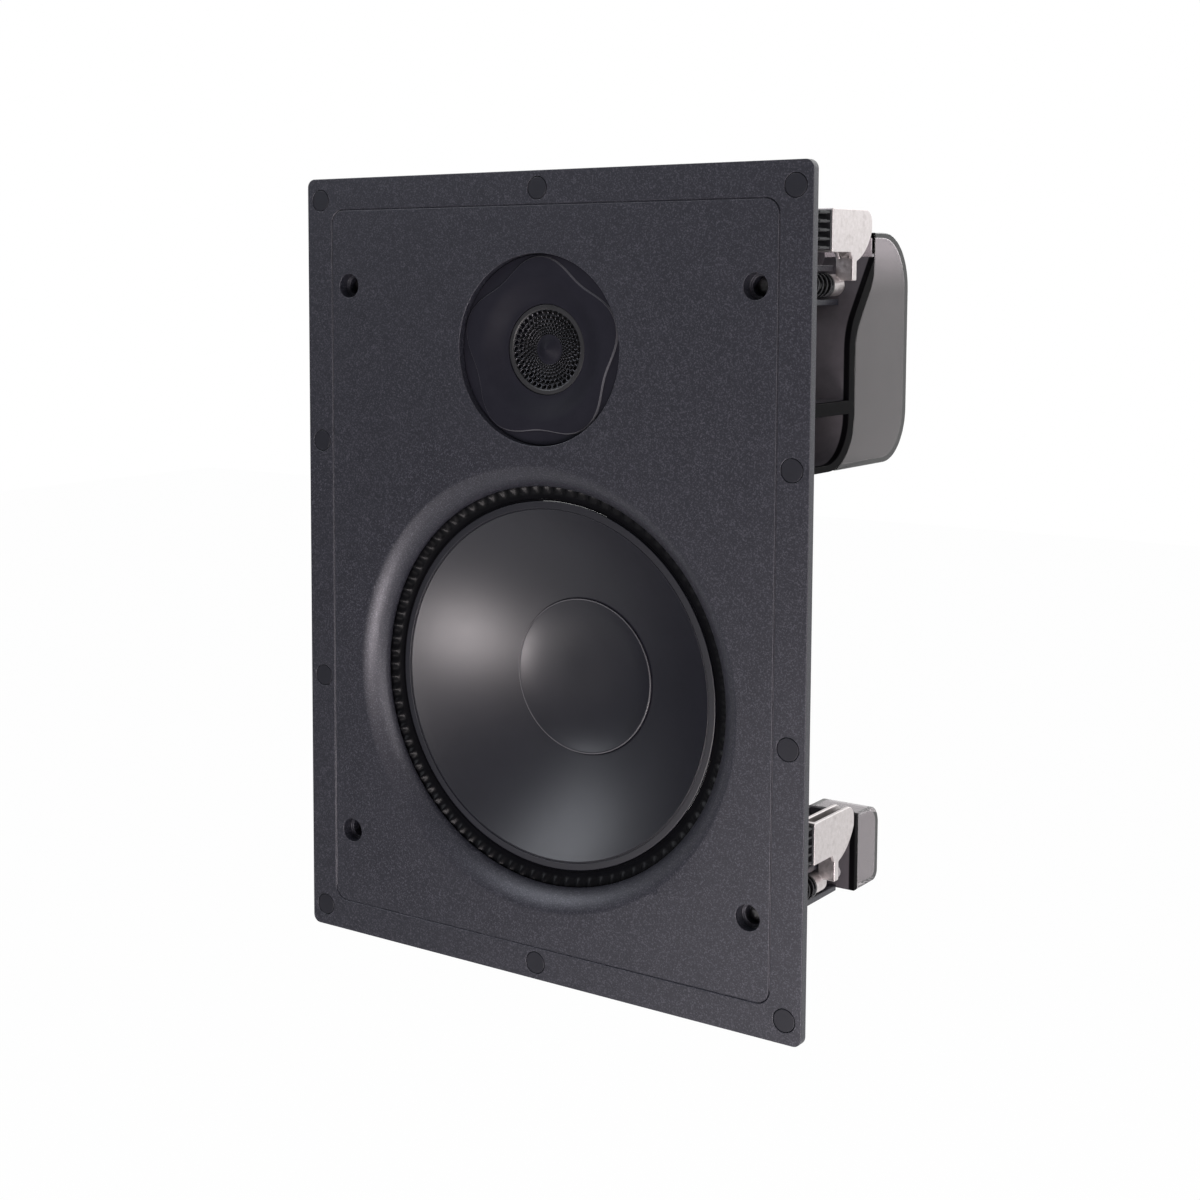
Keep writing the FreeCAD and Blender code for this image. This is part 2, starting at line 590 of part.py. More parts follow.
# Tweeter. The plateau's outline is one closed curve through five lobe tips and five valleys.
face_front = front + s.face_recess
plateau_front = face_front - s.lobe_rise
mouth_y = front + s.mouth_depth
face = turned("FaceForm", [
    (s.mouth_radius, mouth_y + 0.6), (s.mouth_radius, mouth_y, 1.6), (s.guide_radius, plateau_front),
    (s.lobe_valley - 1.5, plateau_front), (s.lobe_valley - 1.5, face_front), (s.face_radius, face_front),
    (s.face_radius, seat_front), (s.neck_radius, seat_front), (s.neck_radius, s.neck_length),
    (s.ledge_radius, s.neck_length), (s.ledge_radius, mouth_y + 1.4), (s.mouth_radius, mouth_y + 1.4)],
    0, 0, tweeter_z)
points = []
for step in range(60):
    angle = math.radians(90 + 6 * step)
    mean = (s.lobe_radius.value + s.lobe_valley.value) / 2
    swing = (s.lobe_radius.value - s.lobe_valley.value) / 2
    radius = mean + swing * math.cos(5 * math.radians(6 * step))
    points.append(vector(radius * math.cos(angle), 0, radius * math.sin(angle)))
curve = Part.BSplineCurve()
curve.interpolate(points, PeriodicFlag=True)
lobes = Part.Face(Part.Wire([curve.toShape()])).extrude(vector(0, s.lobe_rise.value + 0.4, 0))
lobes = lobes.cut(Part.makeCylinder(s.guide_radius.value + 0.6, 20, vector(0, -10, 0), vector(0, 1, 0)))
plateau = doc.addObject("Part::Feature", "LobedPlateau")
plateau.Shape = lobes
place(plateau, 0, plateau_front, tweeter_z)
nodes["tweeter_faceplate"] = cut("Faceplate", fuse("FaceWithLobes", [face, plateau]), [
    rod(f"FacePilot{number}", s.screw_radius + s.thread_gap, (face_front + 0.8, seat_front + 1), x, z)
    for number, x, z in tweeter_screws])
lens_back = mouth_y + 1.4
lens_low = lens_back + s.lens_dish
nodes["tweeter_lens"] = turned("Lens", [
    (0, lens_low - s.bullet_height), (s.bullet_radius, lens_low - s.lens_sheet, 0.6),
    (s.ledge_radius - 0.5, lens_back - s.lens_sheet), (s.mouth_radius - 0.2, lens_back - s.lens_sheet),
    (s.mouth_radius - 0.2, lens_back), (s.ledge_radius - 0.5, lens_back, -0.6),
    (s.bullet_radius, lens_low), (0, lens_low)], 0, 0, tweeter_z)
top_y = s.neck_length
top_back = top_y + s.tweeter_plate
ring_back = top_back + s.tweeter_magnet
dome_foot = top_y - 0.8
nodes["tweeter_dome"] = turned("Dome", [
    (0, dome_foot - s.dome_height), (1, dome_foot - s.dome_height, -s.dome_height / 4),
    (s.dome_radius, dome_foot - s.dome_sheet),
    (s.dome_radius, top_back - 1), (s.dome_radius - s.dome_sheet, top_back - 1),
    (s.dome_radius - s.dome_sheet, dome_foot, s.dome_height / 4), (1, dome_foot - s.dome_height + s.dome_sheet),
    (0, dome_foot - s.dome_height + s.dome_sheet)],
    0, 0, tweeter_z)
nodes["tweeter_surround"] = turned("DomeSurround", [
    (s.dome_radius + 0.1, dome_foot - 0.4, -0.8), (s.ledge_radius - 2.4, top_y - 0.4),
    (s.ledge_radius - 0.3, top_y - 0.4), (s.ledge_radius - 0.3, top_y), (s.ledge_radius - 2.4, top_y, 0.8),
    (s.dome_radius + 0.1, dome_foot)], 0, 0, tweeter_z)
nodes["tweeter_top_plate"] = turned("TweeterTop", [
    (s.dome_radius + 0.5, top_y), (s.neck_radius, top_y), (s.neck_radius, top_back),
    (s.dome_radius + 0.5, top_back)], 0, 0, tweeter_z)
nodes["tweeter_magnet"] = turned("TweeterRing", [
    (s.dome_radius + 3, top_back), (s.neck_radius, top_back), (s.neck_radius, ring_back),
    (s.dome_radius + 3, ring_back)], 0, 0, tweeter_z)
nodes["tweeter_back_plate"] = turned("TweeterBack", [
    (0, top_y + 1), (s.dome_radius - s.dome_sheet - 0.4, top_y + 1),
    (s.dome_radius - s.dome_sheet - 0.4, ring_back), (s.neck_radius - 1, ring_back),
    (s.neck_radius - 1, ring_back + s.tweeter_plate), (0, ring_back + s.tweeter_plate)], 0, 0, tweeter_z)
cup_front = ring_back + s.tweeter_plate
nodes["tweeter_rear_cup"] = turned("RearCup", [
    (s.cup_radius - 1.6, cup_front), (s.cup_radius, cup_front), (s.cup_radius, cup_front + s.cup_depth - 3),
    (s.cup_radius - 3, cup_front + s.cup_depth), (0, cup_front + s.cup_depth),
    (0, cup_front + s.cup_depth - 1.6), (s.cup_radius - 3.6, cup_front + s.cup_depth - 1.6),
    (s.cup_radius - 1.6, cup_front + s.cup_depth - 3.6)], 0, 0, tweeter_z)
nodes["tweeter_screws"] = group("TweeterScrews", [
    fuse(f"TweeterScrew{number}", [
        rod(f"TweeterShank{number}", s.screw_radius, (face_front + 1, s.seat_depth), x, z),
        rod(f"TweeterHead{number}", s.screw_head, (s.seat_depth, s.seat_depth + s.head_height), x, z)])
    for number, x, z in tweeter_screws])

# Wall clamps. An arm is folded along Z; the upper and lower left ones point down, the right ones up.
screw_tip = s.hub_front + s.hub_length + s.clamp_tip
for name, right, upper, x, z, shift in corners:
    tag = ("upper_" if upper > 0 else "lower_") + ("right" if right > 0 else "left")
    head_back = pocket_back
    nodes[f"clamp_screw_{tag}"] = fuse(f"ClampScrew{name}", [
        rod(f"ClampHead{name}", s.clamp_head, (head_back - s.clamp_head_height, head_back), x, z),
        rod(f"ClampShank{name}", s.clamp_shank, (head_back, screw_tip), x, z)])
    hub = s.hub_front - shift
    washer_back = hub - 0.05
    washer_front = washer_back - s.washer_thickness
    bore = s.clamp_shank + s.clamp_play
    nodes[f"clamp_spring_{tag}"] = cut(f"ClampSpring{name}", rod(
        f"SpringOutside{name}", s.spring_radius, (spring_seat, washer_front), x, z), [
        rod(f"SpringInside{name}", s.spring_radius - s.spring_wire, (as_size(0), screw_tip), x, z)])
    nodes[f"clamp_washer_{tag}"] = cut(f"ClampWasher{name}", rod(
        f"WasherOutside{name}", s.spring_radius, (washer_front, washer_back), x, z), [
        rod(f"WasherInside{name}", bore, (as_size(0), screw_tip), x, z)])
    back = hub + s.arm_back
    web = [
        (hub + s.leg_front, s.leg_low), (hub + s.hub_length, s.leg_low),
        (hub + s.hub_length, s.cheek_end + 0.1, -2.2), (back, s.flag_low + 9.5),
        (back - s.cheek_wall, s.flag_low + 9.5, 1.9),
        (hub + s.hub_length - 1.4, s.cheek_end + s.cheek_wall), (hub + s.leg_front, s.cheek_end + s.cheek_wall)]
    profile = [
        (hub - s.flag_lead, s.flag_low), (hub + s.leg_front - 2, s.flag_low),
        (hub + s.leg_front, s.flag_low - 3)] + web[:4] + [
        (back, s.flag_high - s.arm_corner, -1.8), (back - s.arm_corner, s.flag_high),
        (hub - s.flag_lead, s.flag_high)]
    profile, web = ([(corner[0], z + right * corner[1]) + tuple(right * sag for sag in corner[2:])
                     for corner in path] for path in (profile, web))
    inner = span(s.clamp_across + s.cheek_start, s.clamp_across + s.cheek_start + s.cheek_wall, right)
    outer = span(s.clamp_across + s.cheek_end - s.cheek_wall, s.clamp_across + s.cheek_end, right)
    whole = span(s.clamp_across + s.cheek_start, s.clamp_across + s.cheek_end, right)
    low, high = span(s.flag_low, s.flag_high, right)
    arm = fuse(f"ArmSolids{name}", [
        side_view(f"InnerCheek{name}", profile, inner),
        side_view(f"OuterCheek{name}", profile, outer),
        block(f"FlagFront{name}", whole, (hub - s.flag_lead, hub - s.flag_lead + s.cheek_wall + 1),
              (z + low, z + high)),
        side_view(f"LegWeb{name}", web, whole),
        rod(f"Hub{name}", s.hub_radius, (hub, hub + s.hub_length), x, z)])
    nodes[f"clamp_arm_{tag}"] = cut(f"ClampArm{name}", arm, [
        rod(f"HubBore{name}", bore, (as_size(0), 2 * screw_tip), x, z)])
    flag = hub - s.flag_lead
    across = (whole[0] + 0.4, whole[1] - 0.4)
    pitch = (s.flag_high - s.flag_low - 2 * 1 - s.tooth_thickness) / 4
    ridges = [block(f"PadBase{name}", across, (flag - s.pad_base, flag), (z + low + 1, z + high - 1))]
    for step in range(5):
        foot = z + low + 1 + step * pitch
        ridges.append(block(f"PadRidge{name}{step + 1}", across, (flag - s.pad_reach, flag - s.pad_base),
                            (foot, foot + s.tooth_thickness)))
    nodes[f"clamp_pad_{tag}"] = fuse(f"ClampPad{name}", ridges)

# Rear tray and smoky cover: the tray closes the cover's mouth with a black rim, turns forward to the
# baffle at its lower corner and steps back in an S to clear the clamp arms.
tray_back = s.tray_front + s.tray_wall
rim_back = s.tray_front + s.tray_rim
arm_rear = s.hub_front + s.arm_back
high_x = s.cover_across
wall = s.cover_wall
whole_x = (-high_x, high_x)
tall = (s.cover_bottom, s.cover_top)
quarter = 1 - math.sqrt(0.5)
step_x = s.relief_inner - s.tray_wall


class Step:
    # the S in which the mouth of the cover steps back on one side, at a slope in degrees from upright
    def __init__(self, where, side, low, back, bend, slope):
        self.where, self.side, self.low, self.back, self.bend = where, side, low, back, bend
        slope = math.radians(slope)
        self.rise, self.lean, self.bow = math.sin(slope), math.cos(slope), 1 - math.cos(slope / 2)
        straight = (back - rim_back - 2 * bend * (1 - self.lean)) / self.rise
        self.high = low + 2 * bend * self.rise + straight * self.lean

    def line(self, gap):
        # up along the mouth, moved back by the gap
        lower, upper = self.bend - gap, self.bend + gap
        return [
            (rim_back + gap, self.low, self.bow * lower),
            (rim_back + self.bend - self.lean * lower, self.low + self.rise * lower),
            (self.back - self.bend + self.lean * upper, self.high - self.rise * upper, -self.bow * upper),
            (self.back + gap, self.high)]

    def space(self, name, gap):
        # all that lies ahead of the mouth beside the step's inner wall
        path = [(as_size(0), self.low)] + self.line(gap) + [
            (self.back + gap, 2 * s.cover_top), (as_size(0), 2 * s.cover_top)]
        return side_view(name + self.where, path, span(step_x - s.tray_wall - gap, high_x + 10, self.side))

    def rim(self):
        # the tray's rim, which runs out to a point on the cover's front edge
        reach = self.bend + s.tray_rim
        foot = (rim_back + self.bend - self.lean * reach, self.low + self.rise * reach, -self.bow * reach)
        tip = (self.back, foot[1] + (self.back - foot[0]) * (self.lean / self.rise))
        path = [(rim_back, self.low - s.tray_rim)] + self.line(as_size(0)) + [
            tip, foot, (s.tray_front, self.low), (s.tray_front, self.low - s.tray_rim)]
        return side_view("Rim" + self.where, path, span(step_x - s.tray_wall, high_x, self.side))

    def inner_wall(self):
        # the wall between the stepped part and the middle of the tray
        path = [(s.tray_front, self.low)] + self.line(as_size(0)) + [
            (self.back, s.cover_top), (s.tray_front, s.cover_top)]
        return side_view("StepWall" + self.where, path, span(step_x - s.tray_wall, step_x, self.side))

    def gate(self):
        # the flat part of the tray that the step replaces
        return block("Gate" + self.where, span(step_x, high_x + 1, self.side),
                     (s.tray_front - 1, rim_back + 1), (self.low, s.cover_top + 1))


steps = [
    Step("Right", 1, s.clamp_up - s.relief_drop, arm_rear + s.relief_depth, s.relief_bend, 37),
    Step("Left", -1, s.clamp_up - s.left_relief_drop, arm_rear + s.left_relief_depth, s.left_relief_bend, 70)]


mouth_foot = rim_back - 0.75 * s.tray_corner


def cover_block(name, inset):
    # the outside of the cover, or the same moved inwards
    low_round, high_round = s.cover_round_low - inset, s.cover_round - inset
    back = s.cover_back - inset
    low, high = tall[0] + inset, tall[1] - inset
    return side_view(name, [
        (mouth_foot, low), (back - low_round, low, -quarter * low_round), (back, low + low_round),
        (back, high - high_round, -quarter * high_round), (back - high_round, high), (mouth_foot, high)],
        (inset - high_x, high_x - inset))


inner_corner = s.tray_corner - s.tray_wall
tray_floor_top = tall[0] + s.tray_wall
tray_sheet = cut("TraySheet", side_view("TrayProfile", [
    (back_skin, tall[0]), (rim_back - s.tray_corner, tall[0], -quarter * s.tray_corner),
    (rim_back, tall[0] + s.tray_corner), (rim_back, tall[1]), (s.tray_front, tall[1]),
    (s.tray_front, tray_floor_top + inner_corner, quarter * inner_corner),
    (s.tray_front - inner_corner, tray_floor_top), (back_skin, tray_floor_top)], whole_x), [
    block("TrayPocket", (s.tray_wall * 2 - step_x, step_x - s.tray_wall * 2), (tray_back, rim_back + 1),
          (tall[0] + s.tray_corner, tall[1] - s.tray_wall))] + [step.gate() for step in steps])
ahead = side_view("AheadOfCover", [
    (as_size(0), tall[0]), (rim_back - s.tray_corner, tall[0], -quarter * s.tray_corner),
    (rim_back, tall[0] + s.tray_corner), (rim_back, 2 * tall[1]), (as_size(0), 2 * tall[1])],
    (-2 * high_x, 2 * high_x))
hollow = cut("Hollow", cover_block("Inside", wall), [step.space("InsideStep", wall) for step in steps])
supports = [tray_sheet] + [step.rim() for step in steps] + [step.inner_wall() for step in steps]
for side in (1, -1):
    where = "Right" if side > 0 else "Left"
    supports.append(block(f"SidePillar{where}", span(s.relief_inner - 14, high_x, side),
                          (back_skin, tray_back), (s.pillar_low, s.pillar_low + s.pillar_height)))
    supports.append(block(f"TopLeg{where}", span(as_size(56), as_size(66), side),
                          (back_skin, tray_back), (s.cover_top - s.tray_wall, s.cover_top)))
posts = []
for side in (1, -1):
    for end, height in (("Low", s.cover_bottom + s.post_inset), ("High", s.cover_top - s.post_inset)):
        posts.append((("Right" if side > 0 else "Left") + end, side * s.post_across, height))
for where, x, z in posts:
    supports.append(rod(f"Post{where}", s.post_radius, (s.tray_front + 1, s.cover_back - wall), x, z))
board_z = (s.cover_top + s.cover_bottom) / 2
board_y = tray_back + s.board_standoff
for number, (across, up) in enumerate(((1, 1), (1, -1), (-1, 1), (-1, -1)), start=1):
    supports.append(rod(f"Standoff{number}", as_size(3), (s.tray_front + 1, board_y),
                        across * (s.board_across / 2 - 6), board_z + up * (s.board_height / 2 - 6)))
nodes["rear_tray"] = cut("RearTray", fuse("TraySolids", supports), [
    rod("BossClearance", s.boss_radius + 0.6, (as_size(-1), basket_rim_back + s.head_height + 1), 0, woofer_z)] + [
    rod(f"PostPilot{where}", s.screw_radius + s.thread_gap, (s.cover_back - 14, s.cover_back), x, z)
    for where, x, z in posts] + [
    block(f"LipClearance{'Right' if side > 0 else 'Left'}",
          span(panel_x - s.lip_wall - 0.2, high_x + 1, side), (as_size(0), s.lip_depth + 0.2),
          (tall[0] - 1, s.pillar_low + s.pillar_height + 1)) for side in (1, -1)])

terminal_x = (-s.terminal_across / 2, s.terminal_across / 2)
terminal_z = (s.cover_bottom + s.terminal_lift, s.cover_bottom + s.terminal_lift + s.terminal_height)
terminal_y = (s.cover_back + s.terminal_proud - s.terminal_depth, s.cover_back + s.terminal_proud)
nodes["rear_cover"] = cut("RearCover", cover_block("Outside", as_size(0)), [hollow, ahead] + [
    step.space("MouthStep", as_size(0)) for step in steps] + [
    block("TerminalWindow", (terminal_x[0] - 0.2, terminal_x[1] + 0.2), (s.cover_back - 2 * wall, 2 * s.cover_back),
          (terminal_z[0] - 0.2, terminal_z[1] + 0.2))] + [
    rod(f"CoverPass{where}", s.screw_radius + s.thread_gap, (s.cover_back - 14, 2 * s.cover_back), x, z)
    for where, x, z in posts])
nodes["cover_screws"] = group("CoverScrews", [
    fuse(f"CoverScrew{where}", [
        rod(f"CoverShank{where}", s.screw_radius, (s.cover_back - 13, s.cover_back), x, z),
        rod(f"CoverHead{where}", s.screw_head, (s.cover_back, s.cover_back + s.head_height), x, z)])
    for where, x, z in posts])

# Crossover: a board on standoffs with its coils, capacitors and resistor.
board_top = board_y + s.board_thickness
nodes["crossover_board"] = block("Board", (-s.board_across / 2, s.board_across / 2), (board_y, board_top),
                                 (board_z - s.board_height / 2, board_z + s.board_height / 2))
for name, radius, length, x in (("large", 18, 16, -44), ("small", 14, 12, -8)):
    nodes[f"inductor_{name}"] = turned(f"Inductor{name.title()}", [
        (radius * 0.42, board_top), (radius, board_top), (radius, board_top + 1.2),
        (radius - 1.4, board_top + 1.2), (radius - 1.4, board_top + length - 1.2),
        (radius, board_top + length - 1.2), (radius, board_top + length), (radius * 0.42, board_top + length)],
        x, 0, board_z + 6)
for name, radius, length, up in (("large", 9, 34, 16), ("small", 7, 28, -4)):
    nodes[f"capacitor_{name}"] = rod_across(f"Capacitor{name.title()}", as_size(radius),
                                            (as_size(20), as_size(20 + length)), board_top + radius, board_z + up)
nodes["resistor"] = block("Resistor", (as_size(20), as_size(48)), (board_top, board_top + 9),
                          (board_z - 28, board_z - 19))

# Terminal block in the back of the cover, with two sprung levers over the wire holes.
wire_z = terminal_z[0] + 5.5
lever_z = terminal_z[0] + 13
lever_axis_y = terminal_y[1] + 2.2
terminal_cuts = []
terminal_ears = []
for side in (1, -1):
    where = "Right" if side > 0 else "Left"
    middle = side * s.terminal_across / 4
    terminal_cuts.append(rod(f"WireHole{where}", as_size(2.2), (terminal_y[1] - 9, 2 * s.cover_back),
                             middle, wire_z))
    terminal_ears += [
        block(f"Ear{where}{number}", (middle + low, middle + high), (terminal_y[1] - 1, lever_axis_y + 2),
              (lever_z - 2, lever_z + 2))
        for number, low, high in ((1, -8.4, -6.9), (2, 6.9, 8.4))]
    lever = fuse(f"LeverForm{where}", [
        rod_across(f"LeverBarrel{where}", as_size(1.7), (middle - 6.6, middle + 6.6), lever_axis_y, lever_z),
        rod_across(f"LeverPin{where}", as_size(0.9), (middle - 8.2, middle + 8.2), lever_axis_y, lever_z),
        block(f"LeverTab{where}", (middle - 6.6, middle + 6.6), (lever_axis_y - 0.2, lever_axis_y + 1.6),
              (lever_z, lever_z + 10))])
    nodes[f"terminal_lever_{where.lower()}"] = lever
    terminal_cuts.append(rod_across(f"PinHole{where}", as_size(0.95), (middle - 8.3, middle + 8.3),
                                    lever_axis_y, lever_z))
nodes["terminal_block"] = cut("TerminalBlock", fuse("TerminalSolids", [
    block("TerminalBody", terminal_x, terminal_y, terminal_z)] + terminal_ears), terminal_cuts)

# Clamp caps behind the lower arms, each on a black rim that closes the bay.
def cap_shape(name, x, y, z, corner):
    # a block whose upper back edge is round and whose lower back edge has half that radius
    bow = 1 - math.sqrt(0.5)
    return side_view(name, [
        (y[0], z[0]), (y[1] - corner / 2, z[0], -bow * corner / 2), (y[1], z[0] + corner / 2),
        (y[1], z[1] - corner, -bow * corner), (y[1] - corner, z[1]), (y[0], z[1])], x)


for right in (1, -1):
    where = "right" if right > 0 else "left"
    title = where.title()
    x = span(s.bay_inner, s.cover_across, right)
    z = (-s.clamp_up - s.cap_under, s.cap_over - s.clamp_up)
    rim_y = (s.lower_rail, s.lower_rail + s.cap_rim)
    cap_y = (rim_y[1], rim_y[1] + s.cap_length)
    nodes[f"clamp_cap_rim_{where}"] = cut(f"CapRim{title}", block(f"CapRimBlock{title}", x, rim_y, z), [
        rod(f"TipPass{title}", s.clamp_shank + 1.5, (as_size(0), 2 * s.cover_back), right * s.clamp_across,
            -s.clamp_up)])
    nodes[f"clamp_cap_{where}"] = cut(
        f"ClampCap{title}", cap_shape(f"CapBlock{title}", x, cap_y, z, s.cap_round),
        [cap_shape(f"CapHollow{title}", (x[0] + s.cap_wall, x[1] - s.cap_wall), (rim_y[0], cap_y[1] - s.cap_wall),
                   (z[0] + s.cap_wall, z[1] - s.cap_wall), s.cap_round - s.cap_wall)])

doc.recompute()
for thing in doc.Objects:
    if "Invalid" in thing.State or "Error" in thing.State:
        raise RuntimeError(f"{thing.Name} failed: {thing.State}")
for name, thing in nodes.items():
    thing.Label = name
    shape = thing.Shape
    if shape.isNull() or not shape.isValid() or not shape.Solids:
        raise RuntimeError(f"{name} has no valid solid")
    shape.exportStep(f"parts/{name}.step")
    box = shape.BoundBox
    print(f"{name}: {len(shape.Solids)} solids, {shape.Volume:.0f} mm3, "
          f"x {box.XMin:.1f} {box.XMax:.1f}, y {box.YMin:.1f} {box.YMax:.1f}, z {box.ZMin:.1f} {box.ZMax:.1f}")
print(len(nodes), "pieces")
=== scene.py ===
# In-wall loudspeaker: eight inch woofer, dome tweeter behind a pierced lens, swing-out wall clamps
# and a crossover under a smoky rear cover. Lengths in the dictionaries are in millimetres.
import json
import math
import bmesh
import bpy
from mathutils import Matrix, Vector

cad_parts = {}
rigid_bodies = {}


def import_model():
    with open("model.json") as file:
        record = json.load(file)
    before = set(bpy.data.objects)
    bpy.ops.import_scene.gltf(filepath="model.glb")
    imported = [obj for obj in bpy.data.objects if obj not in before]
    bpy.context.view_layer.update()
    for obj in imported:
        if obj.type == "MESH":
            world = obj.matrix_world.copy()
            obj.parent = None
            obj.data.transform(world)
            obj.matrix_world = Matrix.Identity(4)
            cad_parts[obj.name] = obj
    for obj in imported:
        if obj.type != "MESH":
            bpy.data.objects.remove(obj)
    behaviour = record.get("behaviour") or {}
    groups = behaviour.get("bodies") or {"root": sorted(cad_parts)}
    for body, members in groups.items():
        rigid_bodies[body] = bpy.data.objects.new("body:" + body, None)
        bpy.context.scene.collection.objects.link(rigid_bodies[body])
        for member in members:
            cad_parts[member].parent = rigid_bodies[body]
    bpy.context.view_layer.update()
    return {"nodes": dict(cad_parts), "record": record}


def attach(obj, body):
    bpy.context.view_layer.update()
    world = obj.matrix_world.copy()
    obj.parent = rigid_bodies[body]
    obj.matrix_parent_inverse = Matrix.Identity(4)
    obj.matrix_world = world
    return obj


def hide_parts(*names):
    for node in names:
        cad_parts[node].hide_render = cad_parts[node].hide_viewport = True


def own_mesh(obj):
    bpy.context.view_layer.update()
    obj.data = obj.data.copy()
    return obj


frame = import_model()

scene = bpy.context.scene
nodes = frame["nodes"]
record = frame["record"]
bodyOf = {node: body for body, names in record["behaviour"]["bodies"].items() for node in names}
slotOf = {part["node"]: part["material_slot"] for part in record["subparts"]}
corners = {"upper_right": (1, 1), "lower_right": (1, -1), "upper_left": (-1, 1), "lower_left": (-1, -1)}
woofer = {"x": 0, "z": -50.5}
tweeter = {"x": 0, "z": 106.5}
origin = {"x": 0, "z": 0}
print("frame loaded:", len(nodes), "nodes")


# Shader sums

class Wire:
    # a shader socket that can be added, scaled and compared like a number
    def __init__(self, board, socket):
        self.board = board
        self.socket = socket

    def sum(self, operation, *values):
        return self.board.node("ShaderNodeMath", {"operation": operation}, dict(enumerate(values)))

    def __add__(self, other):
        return self.sum("ADD", self, other)

    def __radd__(self, other):
        return self.sum("ADD", other, self)

    def __sub__(self, other):
        return self.sum("SUBTRACT", self, other)

    def __rsub__(self, other):
        return self.sum("SUBTRACT", other, self)

    def __mul__(self, other):
        return self.sum("MULTIPLY", self, other)

    def __rmul__(self, other):
        return self.sum("MULTIPLY", other, self)

    def __pow__(self, other):
        return self.sum("POWER", self, other)


class Board:
    # a node tree and the one method that adds to it
    def __init__(self, tree):
        self.tree = tree
        self.tree.nodes.clear()

    def node(self, kind, settings=None, values=None, output=0):
        made = self.tree.nodes.new(kind)
        for key, value in (settings or {}).items():
            if key == "stops":
                ramp = made.color_ramp
                for number, (place, colour) in enumerate(value):
                    stop = ramp.elements[number] if number < 2 else ramp.elements.new(place)
                    stop.position = place
                    stop.color = (*colour, 1)
            else:
                setattr(made, key, value)
        for key, value in (values or {}).items():
            if isinstance(value, Wire):
                self.tree.links.new(value.socket, made.inputs[key])
            elif isinstance(value, tuple) and len(value) == 3 and made.inputs[key].type == "RGBA":
                made.inputs[key].default_value = (*value, 1)
            else:
                made.inputs[key].default_value = value
        return Wire(self, made.outputs[output])


class Finish(Board):
    # one material: a shader with fixed sockets, and what varies over the surface fed to it
    def __init__(self, name, fixed):
        self.material = bpy.data.materials.new(name)
        self.material.use_nodes = True
        super().__init__(self.material.node_tree)
        self.shader = self.node("ShaderNodeBsdfPrincipled", {}, fixed)
        surface = self.tree.nodes.new("ShaderNodeOutputMaterial")
        self.tree.links.new(self.shader.socket, surface.inputs["Surface"])
        self.spot = self.node("ShaderNodeTexCoord", output="Object")

    def feed(self, socket, wire):
        self.tree.links.new(wire.socket, self.shader.socket.node.inputs[socket])

    def noise(self, size, detail=2.0, rough=0.5, spot=None):
        # patches about size millimetres wide
        return self.node("ShaderNodeTexNoise", {}, {"Vector": spot or self.spot, "Scale": 1000 / size,
                                                    "Detail": detail, "Roughness": rough})

    def grains(self, size):
        return self.node("ShaderNodeTexVoronoi", {}, {"Vector": self.spot, "Scale": 1000 / size})

    def clamp(self, wire, low, high, start=0.0, end=1.0):
        return self.node("ShaderNodeMapRange", {"clamp": True},
                         {0: wire, 1: low, 2: high, 3: start, 4: end})

    def blend(self, mask, first, second):
        return self.node("ShaderNodeMix", {"data_type": "RGBA"}, {0: mask, 6: first, 7: second}, 2)

    def relief(self, height, depth, strength=1.0):
        # depth in millimetres
        self.feed("Normal", self.node("ShaderNodeBump", {}, {"Strength": strength, "Distance": depth / 1000,
                                                             "Height": height}))

    def round(self, middle):
        # distance from an axis along Y and its two parts, in millimetres
        parts = self.tree.nodes.new("ShaderNodeSeparateXYZ")
        self.tree.links.new(self.spot.socket, parts.inputs[0])
        across, up = Wire(self, parts.outputs[0]), Wire(self, parts.outputs[2])
        across = across * 1000 - middle["x"]
        up = up * 1000 - middle["z"]
        return (across * across + up * up) ** 0.5, across, up


# Finishes

def mouldedGrain(name, look):
    # fine spark-eroded grain with paler flecks, as on the baffle
    made = Finish(name, {"Specular IOR Level": look["shine"], "Specular Tint": look["sheen"]})
    fleck = made.clamp(made.noise(look["grain"], 3, 0.7), 0.52, 0.64)
    patch = made.clamp(made.noise(look["patch"], 3), 0.3, 0.7)
    tone = made.blend(patch, look["dark"], look["light"])
    made.feed("Base Color", made.blend(fleck * look["fleckShare"], tone, look["fleck"]))
    made.feed("Roughness", look["rough"] + 0.10 * made.noise(look["grain"] * 2.2) - 0.05 * fleck)
    made.relief(made.noise(look["grain"], 3, 0.7) + 0.4 * made.noise(look["grain"] * 3), look["depth"],
                look["strength"])
    return made.material


def smoothPlastic(name, look):
    made = Finish(name, {"Specular IOR Level": look["shine"]})
    patch = made.clamp(made.noise(look["patch"], 4, 0.6), 0.3, 0.7)
    made.feed("Base Color", made.blend(patch, look["dark"], look["light"]))
    made.feed("Roughness", look["rough"] + look["spread"] * made.noise(look["patch"] * 0.4, 4, 0.65))
    made.relief(made.noise(look["grain"], 2), look["depth"], look["strength"])
    return made.material


def lobedSatinPaintedHighlight(name, look):
    # satin moulding with a painted highlight: a paler colour painted along the edge of its five-lobed step,
    # where the step would catch the light
    made = Finish(name, {"Specular IOR Level": look["shine"]})
    ring, across, up = made.round(tweeter)
    turn = across.sum("ARCTAN2", up, across)
    offset = ring - look["middle"] - look["swing"] * turn.sum("SINE", turn * 5)
    # edge masks the painted highlight, a thin line along the lobed outline
    edge = made.clamp(turn.sum("ABSOLUTE", offset), look["line"], look["line"] + 0.25, 1.0, 0.0)
    patch = made.clamp(made.noise(look["patch"], 4, 0.6), 0.3, 0.7)
    skin = made.blend(patch, look["dark"], look["light"])
    made.feed("Base Color", made.blend(edge * look["highlightShare"], skin, look["edge"]))
    made.feed("Roughness", look["rough"] + 0.06 * made.noise(look["patch"] * 0.4, 4, 0.65) - 0.2 * edge)
    made.relief(made.noise(look["grain"], 2), look["depth"], look["strength"])
    return made.material


